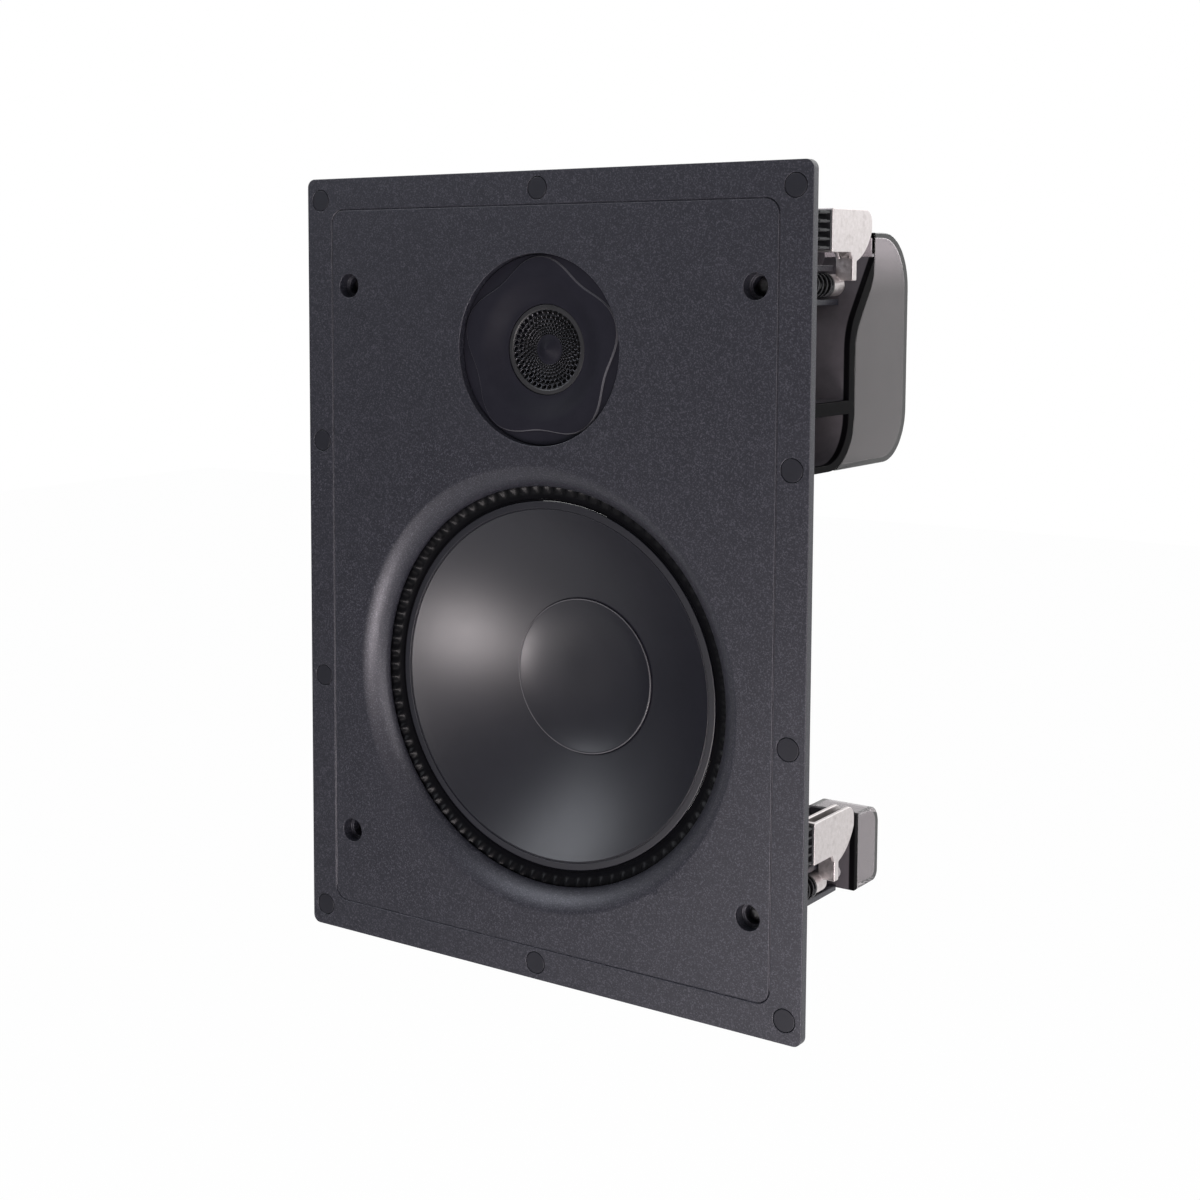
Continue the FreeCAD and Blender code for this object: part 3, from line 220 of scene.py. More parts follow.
def castMetal(name, look):
    # cast and plated metal: soft mottling, tiny pits, darker stains
    made = Finish(name, {"Metallic": look["metal"]})
    mottle = made.clamp(made.noise(look["patch"], 5, 0.62), 0.32, 0.68)
    stain = made.clamp(made.noise(look["patch"] * 2.4, 3, 0.6), 0.55, 0.78)
    pits = made.clamp(made.grains(look["grain"]), 0.0, 0.32)
    tone = made.blend(mottle, look["dark"], look["light"])
    tone = made.blend(stain * 0.45, tone, look["stain"])
    made.feed("Base Color", made.blend((1 - pits) * 0.35, tone, look["stain"]))
    made.feed("Roughness", look["rough"] + 0.18 * mottle)
    made.relief(made.noise(look["grain"] * 2, 4, 0.6) + 0.5 * pits, look["depth"], look["strength"])
    return made.material


def turnedMetal(name, look, middle):
    # concentric tool marks about the driver's axis
    made = Finish(name, {"Metallic": look["metal"], "Specular IOR Level": look["shine"]})
    ring = made.round(middle)[0]
    marks = made.node("ShaderNodeTexNoise", {"noise_dimensions": "1D"},
                      {"W": ring * look["marks"], "Scale": 1.0, "Detail": 3.0})
    patch = made.clamp(made.noise(9, 4), 0.3, 0.7)
    made.feed("Base Color", made.blend(0.5 * patch + 0.5 * marks, look["dark"], look["light"]))
    made.feed("Roughness", look["rough"] + 0.15 * marks)
    made.relief(marks, look["depth"], look["strength"])
    return made.material


def sprayedCone(name, look):
    # pressed cone: faint rings from the pressing, a fine even skin and a painted highlight, a paler line
    # painted on the bead round the dust cap
    made = Finish(name, {"Specular IOR Level": look["shine"], "Coat Roughness": 0.35})
    ring = made.round(woofer)[0]
    press = made.node("ShaderNodeTexNoise", {"noise_dimensions": "1D"},
                      {"W": ring * 0.9, "Scale": 1.0, "Detail": 2.0})
    patch = made.clamp(made.noise(18, 4), 0.3, 0.7)
    # seam masks the painted highlight line on the bead round the dust cap
    seam = made.clamp(ring.sum("ABSOLUTE", ring - look["seamRadius"]), 0.15, 0.32, 1.0, 0.0)
    skin = made.blend(0.6 * patch + 0.4 * press, look["dark"], look["light"])
    made.feed("Base Color", made.blend(seam, skin, look["seam"]))
    made.feed("Roughness", look["rough"] + 0.05 * made.noise(5, 3) + 0.03 * press)
    made.relief(made.noise(0.7, 2) + 0.5 * press, look["depth"], look["strength"])
    return made.material


def rollRubber(name, look):
    # matt black in the groove beside the cone and polished over the ribs
    made = Finish(name, {"Specular IOR Level": look["shine"], "Coat Roughness": 0.30})
    patch = made.clamp(made.noise(look["patch"], 4, 0.6), 0.3, 0.7)
    made.feed("Base Color", made.blend(patch, look["dark"], look["light"]))
    made.feed("Roughness", look["rough"] + 0.1 * made.noise(look["patch"] * 0.4, 4, 0.65))
    ribs = made.clamp(made.round(woofer)[0], look["glossFrom"], look["glossTo"])
    made.feed("Coat Weight", look["gloss"] * ribs)
    made.relief(made.noise(look["grain"], 2), look["depth"], look["strength"])
    return made.material


def smokyPlastic(name, look):
    # the tint is paler over the roof of the cover and in the lower caps
    made = Finish(name, {"Transmission Weight": 1.0, "IOR": look["ior"], "Specular IOR Level": 0.5})
    patch = made.clamp(made.noise(22, 3), 0.3, 0.7)
    height = made.round(origin)[2]
    paleTint = made.clamp(height, look["paleFrom"], look["paleTo"]) + made.clamp(height, -20, 20, 0.6, 0.0)
    made.feed("Base Color", made.blend(paleTint, made.blend(patch, look["dark"], look["light"]), look["paleTint"]))
    made.feed("Roughness", look["rough"] + 0.04 * made.noise(6, 3))
    made.relief(made.noise(14, 2), look["depth"], look["strength"])
    return made.material


def edgedPlastic(name, look):
    # black at the outer walls; further in, a paler grey painted as light on the shaded inside
    made = Finish(name, {"Specular IOR Level": look["shine"]})
    across = made.round(origin)[1]
    outer = made.clamp(across.sum("ABSOLUTE", across), look["innerTo"], look["outerFrom"])
    patch = made.clamp(made.noise(look["patch"], 4, 0.6), 0.3, 0.7)
    # painted light: a paler grey standing in for light on the tray's shaded inside
    paintedFillTone = made.blend(patch, look["paintedFill"], look["paintedFillPale"])
    made.feed("Base Color", made.blend(outer, paintedFillTone, look["black"]))
    made.feed("Roughness", look["rough"] + 0.12 * made.noise(look["patch"] * 0.4, 4, 0.65))
    made.relief(made.noise(look["grain"], 2), look["depth"], look["strength"])
    return made.material


def clothWeave(name, look):
    # two crossed runs of threads
    made = Finish(name, {"Sheen Weight": 0.25, "Sheen Roughness": 0.5, "Specular IOR Level": 0.2})
    threads = [made.node("ShaderNodeTexWave", {"bands_direction": way, "wave_profile": "SIN"},
                         {"Vector": made.spot, "Scale": look["threads"], "Distortion": 0.4})
               for way in ("X", "Z")]
    weave = threads[0] * threads[1]
    made.feed("Base Color", made.blend(weave, look["dark"], look["light"]))
    made.feed("Roughness", 0.75 + 0.2 * made.noise(3))
    made.relief(weave, look["depth"], look["strength"])
    return made.material


def woundWire(name, look):
    # enamelled copper, turn beside turn along Y
    made = Finish(name, {"Metallic": 0.85, "Coat Weight": 0.3, "Coat Roughness": 0.15})
    patch = made.clamp(made.noise(2.4, 3), 0.3, 0.7)
    made.feed("Base Color", made.blend(patch, look["dark"], look["light"]))
    made.feed("Roughness", 0.28 + 0.2 * made.noise(1.2))
    made.relief(made.noise(0.5), 0.02, 0.3)
    return made.material


def boardPrint(name, look):
    # laminate with broad copper tracks under the lacquer
    made = Finish(name, {"Coat Weight": 0.3, "Coat Roughness": 0.25})
    tracks = made.node("ShaderNodeTexBrick", {"offset": 0.5},
                       {"Vector": made.spot, "Scale": 60.0, "Mortar Size": 0.05,
                        "Color1": (1, 1, 1), "Color2": (1, 1, 1), "Mortar": (0, 0, 0)}, 1)
    weave = made.noise(0.8, 3)
    laminate = made.blend(weave, look["dark"], look["light"])
    made.feed("Base Color", made.blend(tracks, laminate, look["track"]))
    made.feed("Roughness", 0.45 + 0.15 * weave)
    made.relief(tracks + 0.3 * weave, 0.05, 0.4)
    return made.material


paint = {
    "baffle_plastic": mouldedGrain("baffleGrain", {
        "dark": (0.0070, 0.0074, 0.0119), "light": (0.0095, 0.0098, 0.0149),
        "fleck": (0.066, 0.065, 0.079), "fleckShare": 0.75, "sheen": (0.94, 0.94, 1.0),
        "grain": 0.62, "patch": 7, "rough": 0.38, "shine": 0.65, "depth": 0.05, "strength": 0.8}),
    "magnet_dark": turnedMetal("magnetNickel", {
        "dark": (0.007, 0.0072, 0.0115), "light": (0.012, 0.0125, 0.018), "marks": 3, "metal": 0.1,
        "rough": 0.40, "shine": 0.4, "depth": 0.01, "strength": 0.25}, tweeter),
    "faceplate_plastic": lobedSatinPaintedHighlight("faceplateSatin", {
        "dark": (0.0105, 0.0103, 0.0150), "light": (0.0125, 0.0122, 0.0172),
        # edge is the colour of the painted highlight along the lobed step
        "edge": (0.11, 0.11, 0.12), "highlightShare": 0.8, "middle": 39.5, "swing": 3.0, "line": 0.12,
        "patch": 9, "rough": 0.52, "grain": 0.35, "shine": 0.08, "depth": 0.012, "strength": 0.35}),
    "lens_metal": castMetal("lensMetal", {
        "dark": (0.026, 0.026, 0.029), "light": (0.042, 0.042, 0.046),
        "stain": (0.020, 0.020, 0.022), "patch": 3, "grain": 0.4, "metal": 1.0, "rough": 0.14,
        "depth": 0.002, "strength": 0.1}),
    "dome_silk": clothWeave("domeSilk", {
        "dark": (0.006, 0.006, 0.007), "light": (0.020, 0.020, 0.022), "threads": 900,
        "depth": 0.02, "strength": 0.3}),
    "cone_material": sprayedCone("coneSkin", {
        "dark": (0.0045, 0.0046, 0.0088), "light": (0.0062, 0.0063, 0.0115), "rough": 0.37,
        # seam is the colour of the painted highlight on the dust cap's bead
        "shine": 0.72, "seam": (0.085, 0.082, 0.09), "seamRadius": 37.15, "depth": 0.006,
        "strength": 0.25}),
    "surround_rubber": rollRubber("surroundRubber", {
        "dark": (0.0010, 0.0010, 0.0016), "light": (0.0022, 0.0022, 0.0032), "patch": 6,
        "rough": 0.45, "grain": 0.5, "shine": 0.05, "glossFrom": 89.4, "glossTo": 90.6,
        "gloss": 0.16, "depth": 0.02, "strength": 0.2}),
    "basket_metal": smoothPlastic("basketPaint", {
        "dark": (0.012, 0.012, 0.013), "light": (0.024, 0.024, 0.026), "patch": 11, "rough": 0.4,
        "spread": 0.15, "grain": 0.9, "shine": 0.5, "depth": 0.05, "strength": 0.4}),
    "former_paper": smoothPlastic("formerFoil", {
        "dark": (0.20, 0.13, 0.06), "light": (0.28, 0.19, 0.09), "patch": 4, "rough": 0.4,
        "spread": 0.2, "grain": 0.4, "shine": 0.5, "depth": 0.02, "strength": 0.3}),
    "spider_cloth": clothWeave("spiderCloth", {
        "dark": (0.16, 0.09, 0.035), "light": (0.33, 0.21, 0.09), "threads": 420, "depth": 0.06,
        "strength": 0.5}),
    "motor_steel": turnedMetal("motorSteel", {
        "dark": (0.30, 0.30, 0.29), "light": (0.50, 0.50, 0.48), "marks": 2.2, "metal": 1.0,
        "rough": 0.32, "shine": 0.5, "depth": 0.02, "strength": 0.35}, woofer),
    "ferrite": smoothPlastic("ferriteBody", {
        "dark": (0.018, 0.018, 0.019), "light": (0.040, 0.040, 0.042), "patch": 5, "rough": 0.55,
        "spread": 0.2, "grain": 0.6, "shine": 0.4, "depth": 0.06, "strength": 0.5}),
    "screw_black": castMetal("blackScrew", {
        "dark": (0.018, 0.018, 0.020), "light": (0.055, 0.055, 0.060),
        "stain": (0.008, 0.008, 0.008), "patch": 2, "grain": 0.4, "metal": 0.8, "rough": 0.28,
        "depth": 0.01, "strength": 0.2}),
    "cup_plastic": smoothPlastic("cupPlastic", {
        "dark": (0.012, 0.012, 0.013), "light": (0.019, 0.019, 0.021), "patch": 8, "rough": 0.4,
        "spread": 0.1, "grain": 0.5, "shine": 0.45, "depth": 0.02, "strength": 0.3}),
    "clamp_metal": castMetal("clampCasting", {
        "dark": (0.56, 0.52, 0.51), "light": (0.70, 0.66, 0.66), "stain": (0.30, 0.26, 0.25),
        "patch": 2.2, "grain": 0.7, "metal": 0.9, "rough": 0.30, "depth": 0.06, "strength": 0.45}),
    "clamp_pad_black": smoothPlastic("padRubber", {
        "dark": (0.008, 0.008, 0.010), "light": (0.024, 0.024, 0.028), "patch": 2.5, "rough": 0.42,
        "spread": 0.25, "grain": 0.4, "shine": 0.5, "depth": 0.05, "strength": 0.5}),
    "clamp_screw_steel": castMetal("clampScrewSteel", {
        "dark": (0.05, 0.05, 0.052), "light": (0.10, 0.10, 0.102), "stain": (0.02, 0.02, 0.02),
        "patch": 3, "grain": 0.5, "metal": 1.0, "rough": 0.28, "depth": 0.02, "strength": 0.3}),
    "spring_black": castMetal("springWire", {
        "dark": (0.010, 0.010, 0.012), "light": (0.035, 0.035, 0.038),
        "stain": (0.004, 0.004, 0.004), "patch": 3, "grain": 0.4, "metal": 0.6, "rough": 0.22,
        "depth": 0.02, "strength": 0.2}),
    "tray_plastic": edgedPlastic("trayPlastic", {
        # the grey inside is painted light for the shaded inside of the tray
        "black": (0.0030, 0.0028, 0.0034), "paintedFill": (0.085, 0.078, 0.085),
        "paintedFillPale": (0.105, 0.096, 0.104), "innerTo": 118, "outerFrom": 118.6, "patch": 10,
        "rough": 0.40, "grain": 0.9, "shine": 0.02, "depth": 0.02, "strength": 0.25}),
    "smoky_plastic": smokyPlastic("smokyCover", {
        "dark": (0.19, 0.172, 0.178), "light": (0.23, 0.208, 0.215), "paleTint": (0.56, 0.52, 0.54),
        "paleFrom": 132, "paleTo": 152, "ior": 1.46, "rough": 0.03, "depth": 0.05, "strength": 0.15}),
    "board_laminate": boardPrint("boardPrint", {
        "dark": (0.010, 0.045, 0.020), "light": (0.018, 0.070, 0.032), "track": (0.035, 0.12, 0.055)}),
    "coil_copper": woundWire("coilCopper", {
        "dark": (0.42, 0.16, 0.06), "light": (0.72, 0.33, 0.14)}),
    "capacitor_film": smoothPlastic("capacitorFilm", {
        "dark": (0.30, 0.20, 0.05), "light": (0.42, 0.29, 0.08), "patch": 5, "rough": 0.3,
        "spread": 0.12, "grain": 0.8, "shine": 0.5, "depth": 0.02, "strength": 0.3}),
    "resistor_ceramic": smoothPlastic("resistorCeramic", {
        "dark": (0.52, 0.50, 0.45), "light": (0.66, 0.64, 0.58), "patch": 3, "rough": 0.7,
        "spread": 0.15, "grain": 0.3, "shine": 0.3, "depth": 0.04, "strength": 0.5}),
    "terminal_plastic": smoothPlastic("terminalPlastic", {
        "dark": (0.010, 0.010, 0.011), "light": (0.018, 0.018, 0.020), "patch": 5, "rough": 0.38,
        "spread": 0.1, "grain": 0.5, "shine": 0.45, "depth": 0.02, "strength": 0.35}),
    "lever_red": smoothPlastic("leverRed", {
        "dark": (0.36, 0.012, 0.012), "light": (0.46, 0.018, 0.016), "patch": 4, "rough": 0.32,
        "spread": 0.1, "grain": 0.5, "shine": 0.5, "depth": 0.02, "strength": 0.3}),
    "lever_black": smoothPlastic("leverBlack", {
        "dark": (0.010, 0.010, 0.011), "light": (0.017, 0.017, 0.019), "patch": 4, "rough": 0.30,
        "spread": 0.1, "grain": 0.5, "shine": 0.5, "depth": 0.02, "strength": 0.3}),
}
print("finishes made:", len(paint))


# Mesh tools

def softened(path, closed, steps=4):
    # swaps a corner (radius, depth, rounding) for a short curve
    smooth = []
    for number, corner in enumerate(path):
        here = Vector(corner[:2])
        atEnd = not closed and number in (0, len(path) - 1)
        if len(corner) < 3 or atEnd:
            smooth.append(here)
            continue
        before = Vector(path[number - 1][:2]) - here
        after = Vector(path[(number + 1) % len(path)][:2]) - here
        turn = before.angle(after)
        reach = min(corner[2] / max(math.tan(turn / 2), 0.05), before.length * 0.48, after.length * 0.48)
        first = here + before.normalized() * reach
        last = here + after.normalized() * reach
        for step in range(steps + 1):
            t = step / steps
            smooth.append(first * (1 - t) ** 2 + here * (2 * t * (1 - t)) + last * t * t)
    return smooth


def bowed(first, last, sag, steps):
    # points strictly between two corners on an arc that bows left of the direction by sag
    first, last = Vector(first), Vector(last)
    left = Vector((-(last - first).y, (last - first).x)).normalized()
    return [tuple(first.lerp(last, t) + left * (4 * sag * t * (1 - t)))
            for t in (step / steps for step in range(1, steps))]


def tidied(name, vertices, faces, merge=2e-7, turned=True):
    mesh = bpy.data.meshes.new(name)
    mesh.from_pydata(vertices, [], faces)
    form = bmesh.new()
    form.from_mesh(mesh)
    bmesh.ops.remove_doubles(form, verts=form.verts, dist=merge)
    if turned:
        bmesh.ops.recalc_face_normals(form, faces=form.faces)
    form.to_mesh(mesh)
    form.free()
    return mesh


def revolved(name, path, middle, around=160, closed=True, wobble=None, along=None):
    # turns a section of (radius, depth) about an axis along Y; wobble may shift a point by its angle
    section = softened(path, closed)
    vertices, faces = [], []
    for step in range(around):
        angle = 2 * math.pi * step / around
        for radius, depth in section:
            if wobble:
                radius, depth = wobble(radius, depth, angle)
            spot = Vector((radius * math.cos(angle), depth, radius * math.sin(angle)))
            if along:
                spot = along @ spot
            vertices.append((spot + Vector((middle["x"], 0, middle["z"]))) / 1000)
    count = len(section)
    for step in range(around):
        after = (step + 1) % around
        for number in range(count if closed else count - 1):
            following = (number + 1) % count
            faces.append((step * count + number, step * count + following,
                          after * count + following, after * count + number))
    return tidied(name, vertices, faces)


def swept(name, line, radius, sides=10):
    # a round wire along a line of points in millimetres
    line = [Vector(point) for point in line]
    vertices, faces = [], []
    normal = None
    for number, point in enumerate(line):
        ahead = (line[min(number + 1, len(line) - 1)] - line[max(number - 1, 0)]).normalized()
        if normal is None:
            normal = ahead.orthogonal().normalized()
        normal = (normal - ahead * normal.dot(ahead)).normalized()
        side = ahead.cross(normal)
        for step in range(sides):
            angle = 2 * math.pi * step / sides
            vertices.append((point + normal * radius * math.cos(angle)
                             + side * radius * math.sin(angle)) / 1000)
    for number in range(len(line) - 1):
        for step in range(sides):
            after = (step + 1) % sides
            faces.append((number * sides + step, number * sides + after,
                          (number + 1) * sides + after, (number + 1) * sides + step))
    faces.append(tuple(range(sides)))
    faces.append(tuple(range((len(line) - 1) * sides, len(line) * sides)))
    return tidied(name, vertices, faces)


def addBlock(form, spots):
    # eight corners in millimetres: four round one end, then the four round the other
    points = [form.verts.new((x / 1000, y / 1000, z / 1000)) for x, y, z in spots]
    for face in ((0, 1, 2, 3), (7, 6, 5, 4), (0, 4, 5, 1), (1, 5, 6, 2), (2, 6, 7, 3), (3, 7, 4, 0)):
        form.faces.new([points[number] for number in face])


def tapered(form, low, high, shrink=0.0):
    # a block whose end at the lowest Y is smaller by shrink all round
    addBlock(form, [(x, y, z) for y, less in ((low[1], shrink), (high[1], 0))
                    for x, z in ((low[0] + less, low[2] + less), (high[0] - less, low[2] + less),
                                 (high[0] - less, high[2] - less), (low[0] + less, high[2] - less))])


def formed(name, form):
    bmesh.ops.recalc_face_normals(form, faces=form.faces)
    mesh = bpy.data.meshes.new(name)
    form.to_mesh(mesh)
    form.free()
    return mesh


def carved(mesh, cutter):
    # what is left of a mesh when the cutter is taken out of it
    bodyThing = bpy.data.objects.new("carvedBody", mesh)
    tool = bpy.data.objects.new("carvingTool", cutter)
    for thing in (bodyThing, tool):
        scene.collection.objects.link(thing)
    cutting = bodyThing.modifiers.new("Carve", "BOOLEAN")
    cutting.object, cutting.operation, cutting.solver = tool, "DIFFERENCE", "EXACT"
    result = bpy.data.meshes.new_from_object(bodyThing.evaluated_get(bpy.context.evaluated_depsgraph_get()))
    for thing in (bodyThing, tool):
        bpy.data.objects.remove(thing)
    return result


def joined(name, meshes, moves=None):
    # one mesh from several, or from one mesh at several places
    form = bmesh.new()
    for number, mesh in enumerate(meshes):
        copy = mesh.copy()
        if moves:
            copy.transform(moves[number])
        form.from_mesh(copy)
        bpy.data.meshes.remove(copy)
    result = bpy.data.meshes.new(name)
    form.to_mesh(result)
    form.free()
    return result


def addPiece(name, mesh, slot, body, replacing=(), crease=35, rounding=0, roundSteps=2):
    thing = bpy.data.objects.new(name, mesh)
    scene.collection.objects.link(thing)
    mesh.materials.clear()
    mesh.materials.append(paint[slot])
    mesh.shade_smooth()
    mesh.set_sharp_from_angle(angle=math.radians(crease))
    if rounding:
        edge = thing.modifiers.new("RoundedEdges", "BEVEL")
        edge.width, edge.segments = rounding / 1000, roundSteps
        edge.limit_method, edge.angle_limit = "ANGLE", math.radians(30)
        edge.use_clamp_overlap = False
        edge.miter_outer = "MITER_ARC"
    even = thing.modifiers.new("EvenShading", "WEIGHTED_NORMAL")
    even.keep_sharp = not rounding
    even.weight = 80
    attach(thing, body)
    if replacing:
        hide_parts(*replacing)
    return thing


# planes through the holes of the nodes that are dressed
splits = {"x": [0] + [side * place for side in (1, -1)
                      for place in (12, 22.34, 36.14, 39.8, 66, 84, 96.08, 110.5, 128.4)],
          "z": [woofer["z"], tweeter["z"], 85.5, 93, 135.5, -135.5]}


def dressNode(node, rounding, name=None, slot=None, roundSteps=2):
    # the node's own shape with its flats merged and its edges rounded
    source = nodes[node].data
    mesh = tidied(node + "Form", [vertex.co[:] for vertex in source.vertices],
                  [face.vertices[:] for face in source.polygons], 2e-6, False)
    form = bmesh.new()
    form.from_mesh(mesh)
    for way, cuts in splits.items():  # a face with a hole is split through it, because it can't stay whole
        normal = (1, 0, 0) if way == "x" else (0, 0, 1)
        for cut in cuts:
            done = bmesh.ops.bisect_plane(
                form, geom=form.verts[:] + form.edges[:] + form.faces[:], dist=1e-7,
                plane_co=[part * cut / 1000 for part in normal], plane_no=normal)
            for piece in done["geom_cut"]:
                if isinstance(piece, bmesh.types.BMEdge):
                    piece.seam = True
    bmesh.ops.dissolve_limit(form, angle_limit=math.radians(0.6), verts=form.verts, edges=form.edges,
                             delimit={"SEAM"})
    form.to_mesh(mesh)
    form.free()
    return addPiece(name or node + ".dressed", mesh, slot or slotOf[node], bodyOf[node], (node,),
                    30, rounding, roundSteps)


# Camera, lamps and room

view = {"place": (0.49909, -0.7349, 0.141), "yaw": 37.7846, "down": 5.34, "roll": -0.1919,
        "lens": 58.338, "shiftAcross": 0.15, "shiftUp": -0.12}
cameraData = bpy.data.cameras.new("camera")
camera = bpy.data.objects.new("camera", cameraData)
scene.collection.objects.link(camera)
camera.matrix_world = (Matrix.Translation(view["place"])
                       @ Matrix.Rotation(math.radians(view["yaw"]), 4, "Z")
                       @ Matrix.Rotation(math.radians(90 - view["down"]), 4, "X")
                       @ Matrix.Rotation(math.radians(view["roll"]), 4, "Z"))
cameraData.lens, cameraData.sensor_width = view["lens"], 36
cameraData.shift_x, cameraData.shift_y = view["shiftAcross"], view["shiftUp"]
cameraData.clip_start, cameraData.clip_end = 0.05, 30
scene.camera = camera
scene.view_settings.view_transform = "Standard"

lamps = {
    "keyLow": {
        "place": (0.36, -0.82, -0.48), "size": (0.42, 0.34), "power": 8.0, "tint": (1, 0.92, 0.93)},
    "sideSoft": {
        "place": (1.30, -0.60, 0.02), "size": (0.6, 1.1), "power": 9, "tint": (1, 0.94, 0.95)},
    "overhead": {
        "place": (-0.75, -0.55, 0.85), "size": (0.8, 0.8), "power": 6.8, "tint": (0.90, 0.93, 1)},
    "lowLeft": {
        "place": (-0.25, -0.95, -0.50), "size": (0.4, 0.4), "power": 0.9, "tint": (1, 0.96, 0.95)},
    "rearFill": {
        "place": (0.3, 1.5, 0.7), "size": (1.4, 1.0), "power": 6, "tint": (1, 1, 1)},
}
for name, lamp in lamps.items():
    light = bpy.data.lights.new(name, "AREA")
    light.shape, light.size, light.size_y = "RECTANGLE", *lamp["size"]
    light.energy, light.color = lamp["power"], lamp["tint"]
    holder = bpy.data.objects.new(name, light)
    scene.collection.objects.link(holder)
    holder.location = lamp["place"]
    aim = Vector((0, 0.03, 0)) - Vector(lamp["place"])
    holder.rotation_euler = aim.to_track_quat("-Z", "Y").to_euler()
    holder.visible_camera = False

room = {"diffuse": 0.36, "tint": (0.90, 0.93, 1.0), "white": (1.0, 1.0, 1.0), "floorHeight": -0.78,
        "floorTone": (0.88, 0.88, 0.88), "floorGlow": 0.985, "reflectedFront": 0.20, "reflectedBack": 1.0}


def seenWhite(board, along, near, far):
    # the rays that see the white room, and how white it is from near to far along Y;
    # camera rays always see it plain white
    camera = board.node("ShaderNodeLightPath", output="Is Camera Ray")
    glossy = Wire(board, camera.socket.node.outputs["Is Glossy Ray"])
    through = Wire(board, camera.socket.node.outputs["Is Transmission Ray"])
    depth = board.node("ShaderNodeSeparateXYZ", {}, {0: along}, 1)
    white = board.node("ShaderNodeMapRange", {"clamp": True}, {
        0: depth, 1: near, 2: far, 3: room["reflectedFront"], 4: room["reflectedBack"]})
    seen = camera.sum("MAXIMUM", camera, camera.sum("MAXIMUM", glossy, through))
    return seen, camera.sum("MAXIMUM", camera, white)


scene.world = bpy.data.worlds.new("whiteRoom")
scene.world.use_nodes = True
sky = Board(scene.world.node_tree)
seen, whiteness = seenWhite(sky, sky.node("ShaderNodeTexCoord", output="Generated"), -0.5, 0.3)
lit = sky.node("ShaderNodeBackground", {}, {"Color": room["tint"], "Strength": room["diffuse"]})
white = sky.node("ShaderNodeBackground", {}, {"Color": room["white"], "Strength": whiteness})
mixed = sky.node("ShaderNodeMixShader", {}, {0: seen, 1: lit, 2: white})
skyEnd = sky.tree.nodes.new("ShaderNodeOutputWorld")
sky.tree.links.new(mixed.socket, skyEnd.inputs["Surface"])

floorForm = bmesh.new()
bmesh.ops.create_grid(floorForm, x_segments=8, y_segments=8, size=6,
                      matrix=Matrix.Translation((0, 0, room["floorHeight"])))
floor = bpy.data.objects.new("floor", formed("floor", floorForm))
scene.collection.objects.link(floor)
floorFinish = bpy.data.materials.new("paleFloor")
floorFinish.use_nodes = True
ground = Board(floorFinish.node_tree)
position = ground.node("ShaderNodeNewGeometry", output="Position")
groundSeen, groundWhite = seenWhite(ground, position, -1.2, 0.4)
plain = ground.node("ShaderNodeBsdfDiffuse", {}, {"Color": room["floorTone"]})
glow = ground.node("ShaderNodeEmission", {}, {"Color": room["white"], "Strength": groundWhite})
groundMix = ground.node("ShaderNodeMixShader", {}, {0: groundSeen * room["floorGlow"], 1: plain, 2: glow})
groundEnd = ground.tree.nodes.new("ShaderNodeOutputMaterial")
ground.tree.links.new(groundMix.socket, groundEnd.inputs["Surface"])
floor.data.materials.append(floorFinish)
print("camera, lamps and floor placed")


# Baffle and its magnets

baffle = {"rounding": 0.3, "magnetRadius": 5.0, "magnetFront": -4.55, "magnetBack": -1.35,
          "magnets": [(0, 179.6), (0, -179.6)] + [(side * 128.4, height) for side in (1, -1)
                                                  for height in (177, 59.1, -59.1, -177)]}
dressNode("baffle", baffle["rounding"])
discs = [revolved("disc", [
    (0, baffle["magnetFront"]), (baffle["magnetRadius"], baffle["magnetFront"], 0.35),
    (baffle["magnetRadius"], baffle["magnetBack"], 0.2), (0, baffle["magnetBack"])],
    {"x": x, "z": z}, 64, False) for x, z in baffle["magnets"]]
addPiece("grilleMagnets", joined("grilleMagnets", discs), "magnet_dark", bodyOf["grille_magnets"],
         ("grille_magnets",))
print("baffle dressed")


# Woofer

cone = {"edge": 86.7, "ringInner": 83.6, "wallEdge": 82.7, "front": 8.2, "sheet": 1.1, "seam": 37,
        "seamDepth": 36.4, "bow": 2.6, "neck": 20.35, "neckDepth": 46.9}
wall = bowed((cone["wallEdge"], cone["front"] + 0.35), (cone["seam"], cone["seamDepth"]), -cone["bow"], 40)
backWall = bowed((cone["seam"], cone["seamDepth"] + cone["sheet"]),
                 (cone["wallEdge"], cone["front"] + cone["sheet"]), cone["bow"], 40)
addPiece("wooferCone", revolved("wooferCone", [
    (cone["edge"], cone["front"] + cone["sheet"], 0.3), (cone["edge"], cone["front"], 0.5),
    (cone["ringInner"], cone["front"], 0.25), (cone["ringInner"] - 0.15, cone["front"] + 0.8, 0.1),
    (82.95, cone["front"] + 0.8, 0.1), (cone["wallEdge"], cone["front"] + 0.35, 0.2), *wall,
    (cone["seam"], cone["seamDepth"]), (cone["neck"], cone["neckDepth"]),
    (cone["neck"], cone["neckDepth"] + cone["sheet"]), (cone["seam"], cone["seamDepth"] + cone["sheet"]),
    *backWall, (cone["wallEdge"], cone["front"] + cone["sheet"])], woofer, 240),
    "cone_material", "woofer_moving", ("woofer_cone",), 50)

cap = {"edge": 36.95, "front": 35.3, "dish": 7.0, "curve": 2.9, "sheet": 1.1}
dishFront = [(cap["edge"] * t, cap["front"] + cap["dish"] * (1 - t ** cap["curve"]))
             for t in (n / 24 for n in range(24))]
dishBack = [(cap["edge"] * t, cap["front"] + cap["sheet"] + cap["dish"] * (1 - t ** cap["curve"]))
            for t in (n / 24 for n in range(23, -1, -1))]
addPiece("dustCap", revolved("dustCap", [*dishFront, (cap["edge"], cap["front"], 0.45),
                                         (cap["edge"], cap["front"] + cap["sheet"], 0.2), *dishBack],
                             woofer, 200, False),
         "cone_material", "woofer_moving", ("woofer_dust_cap",), 50)

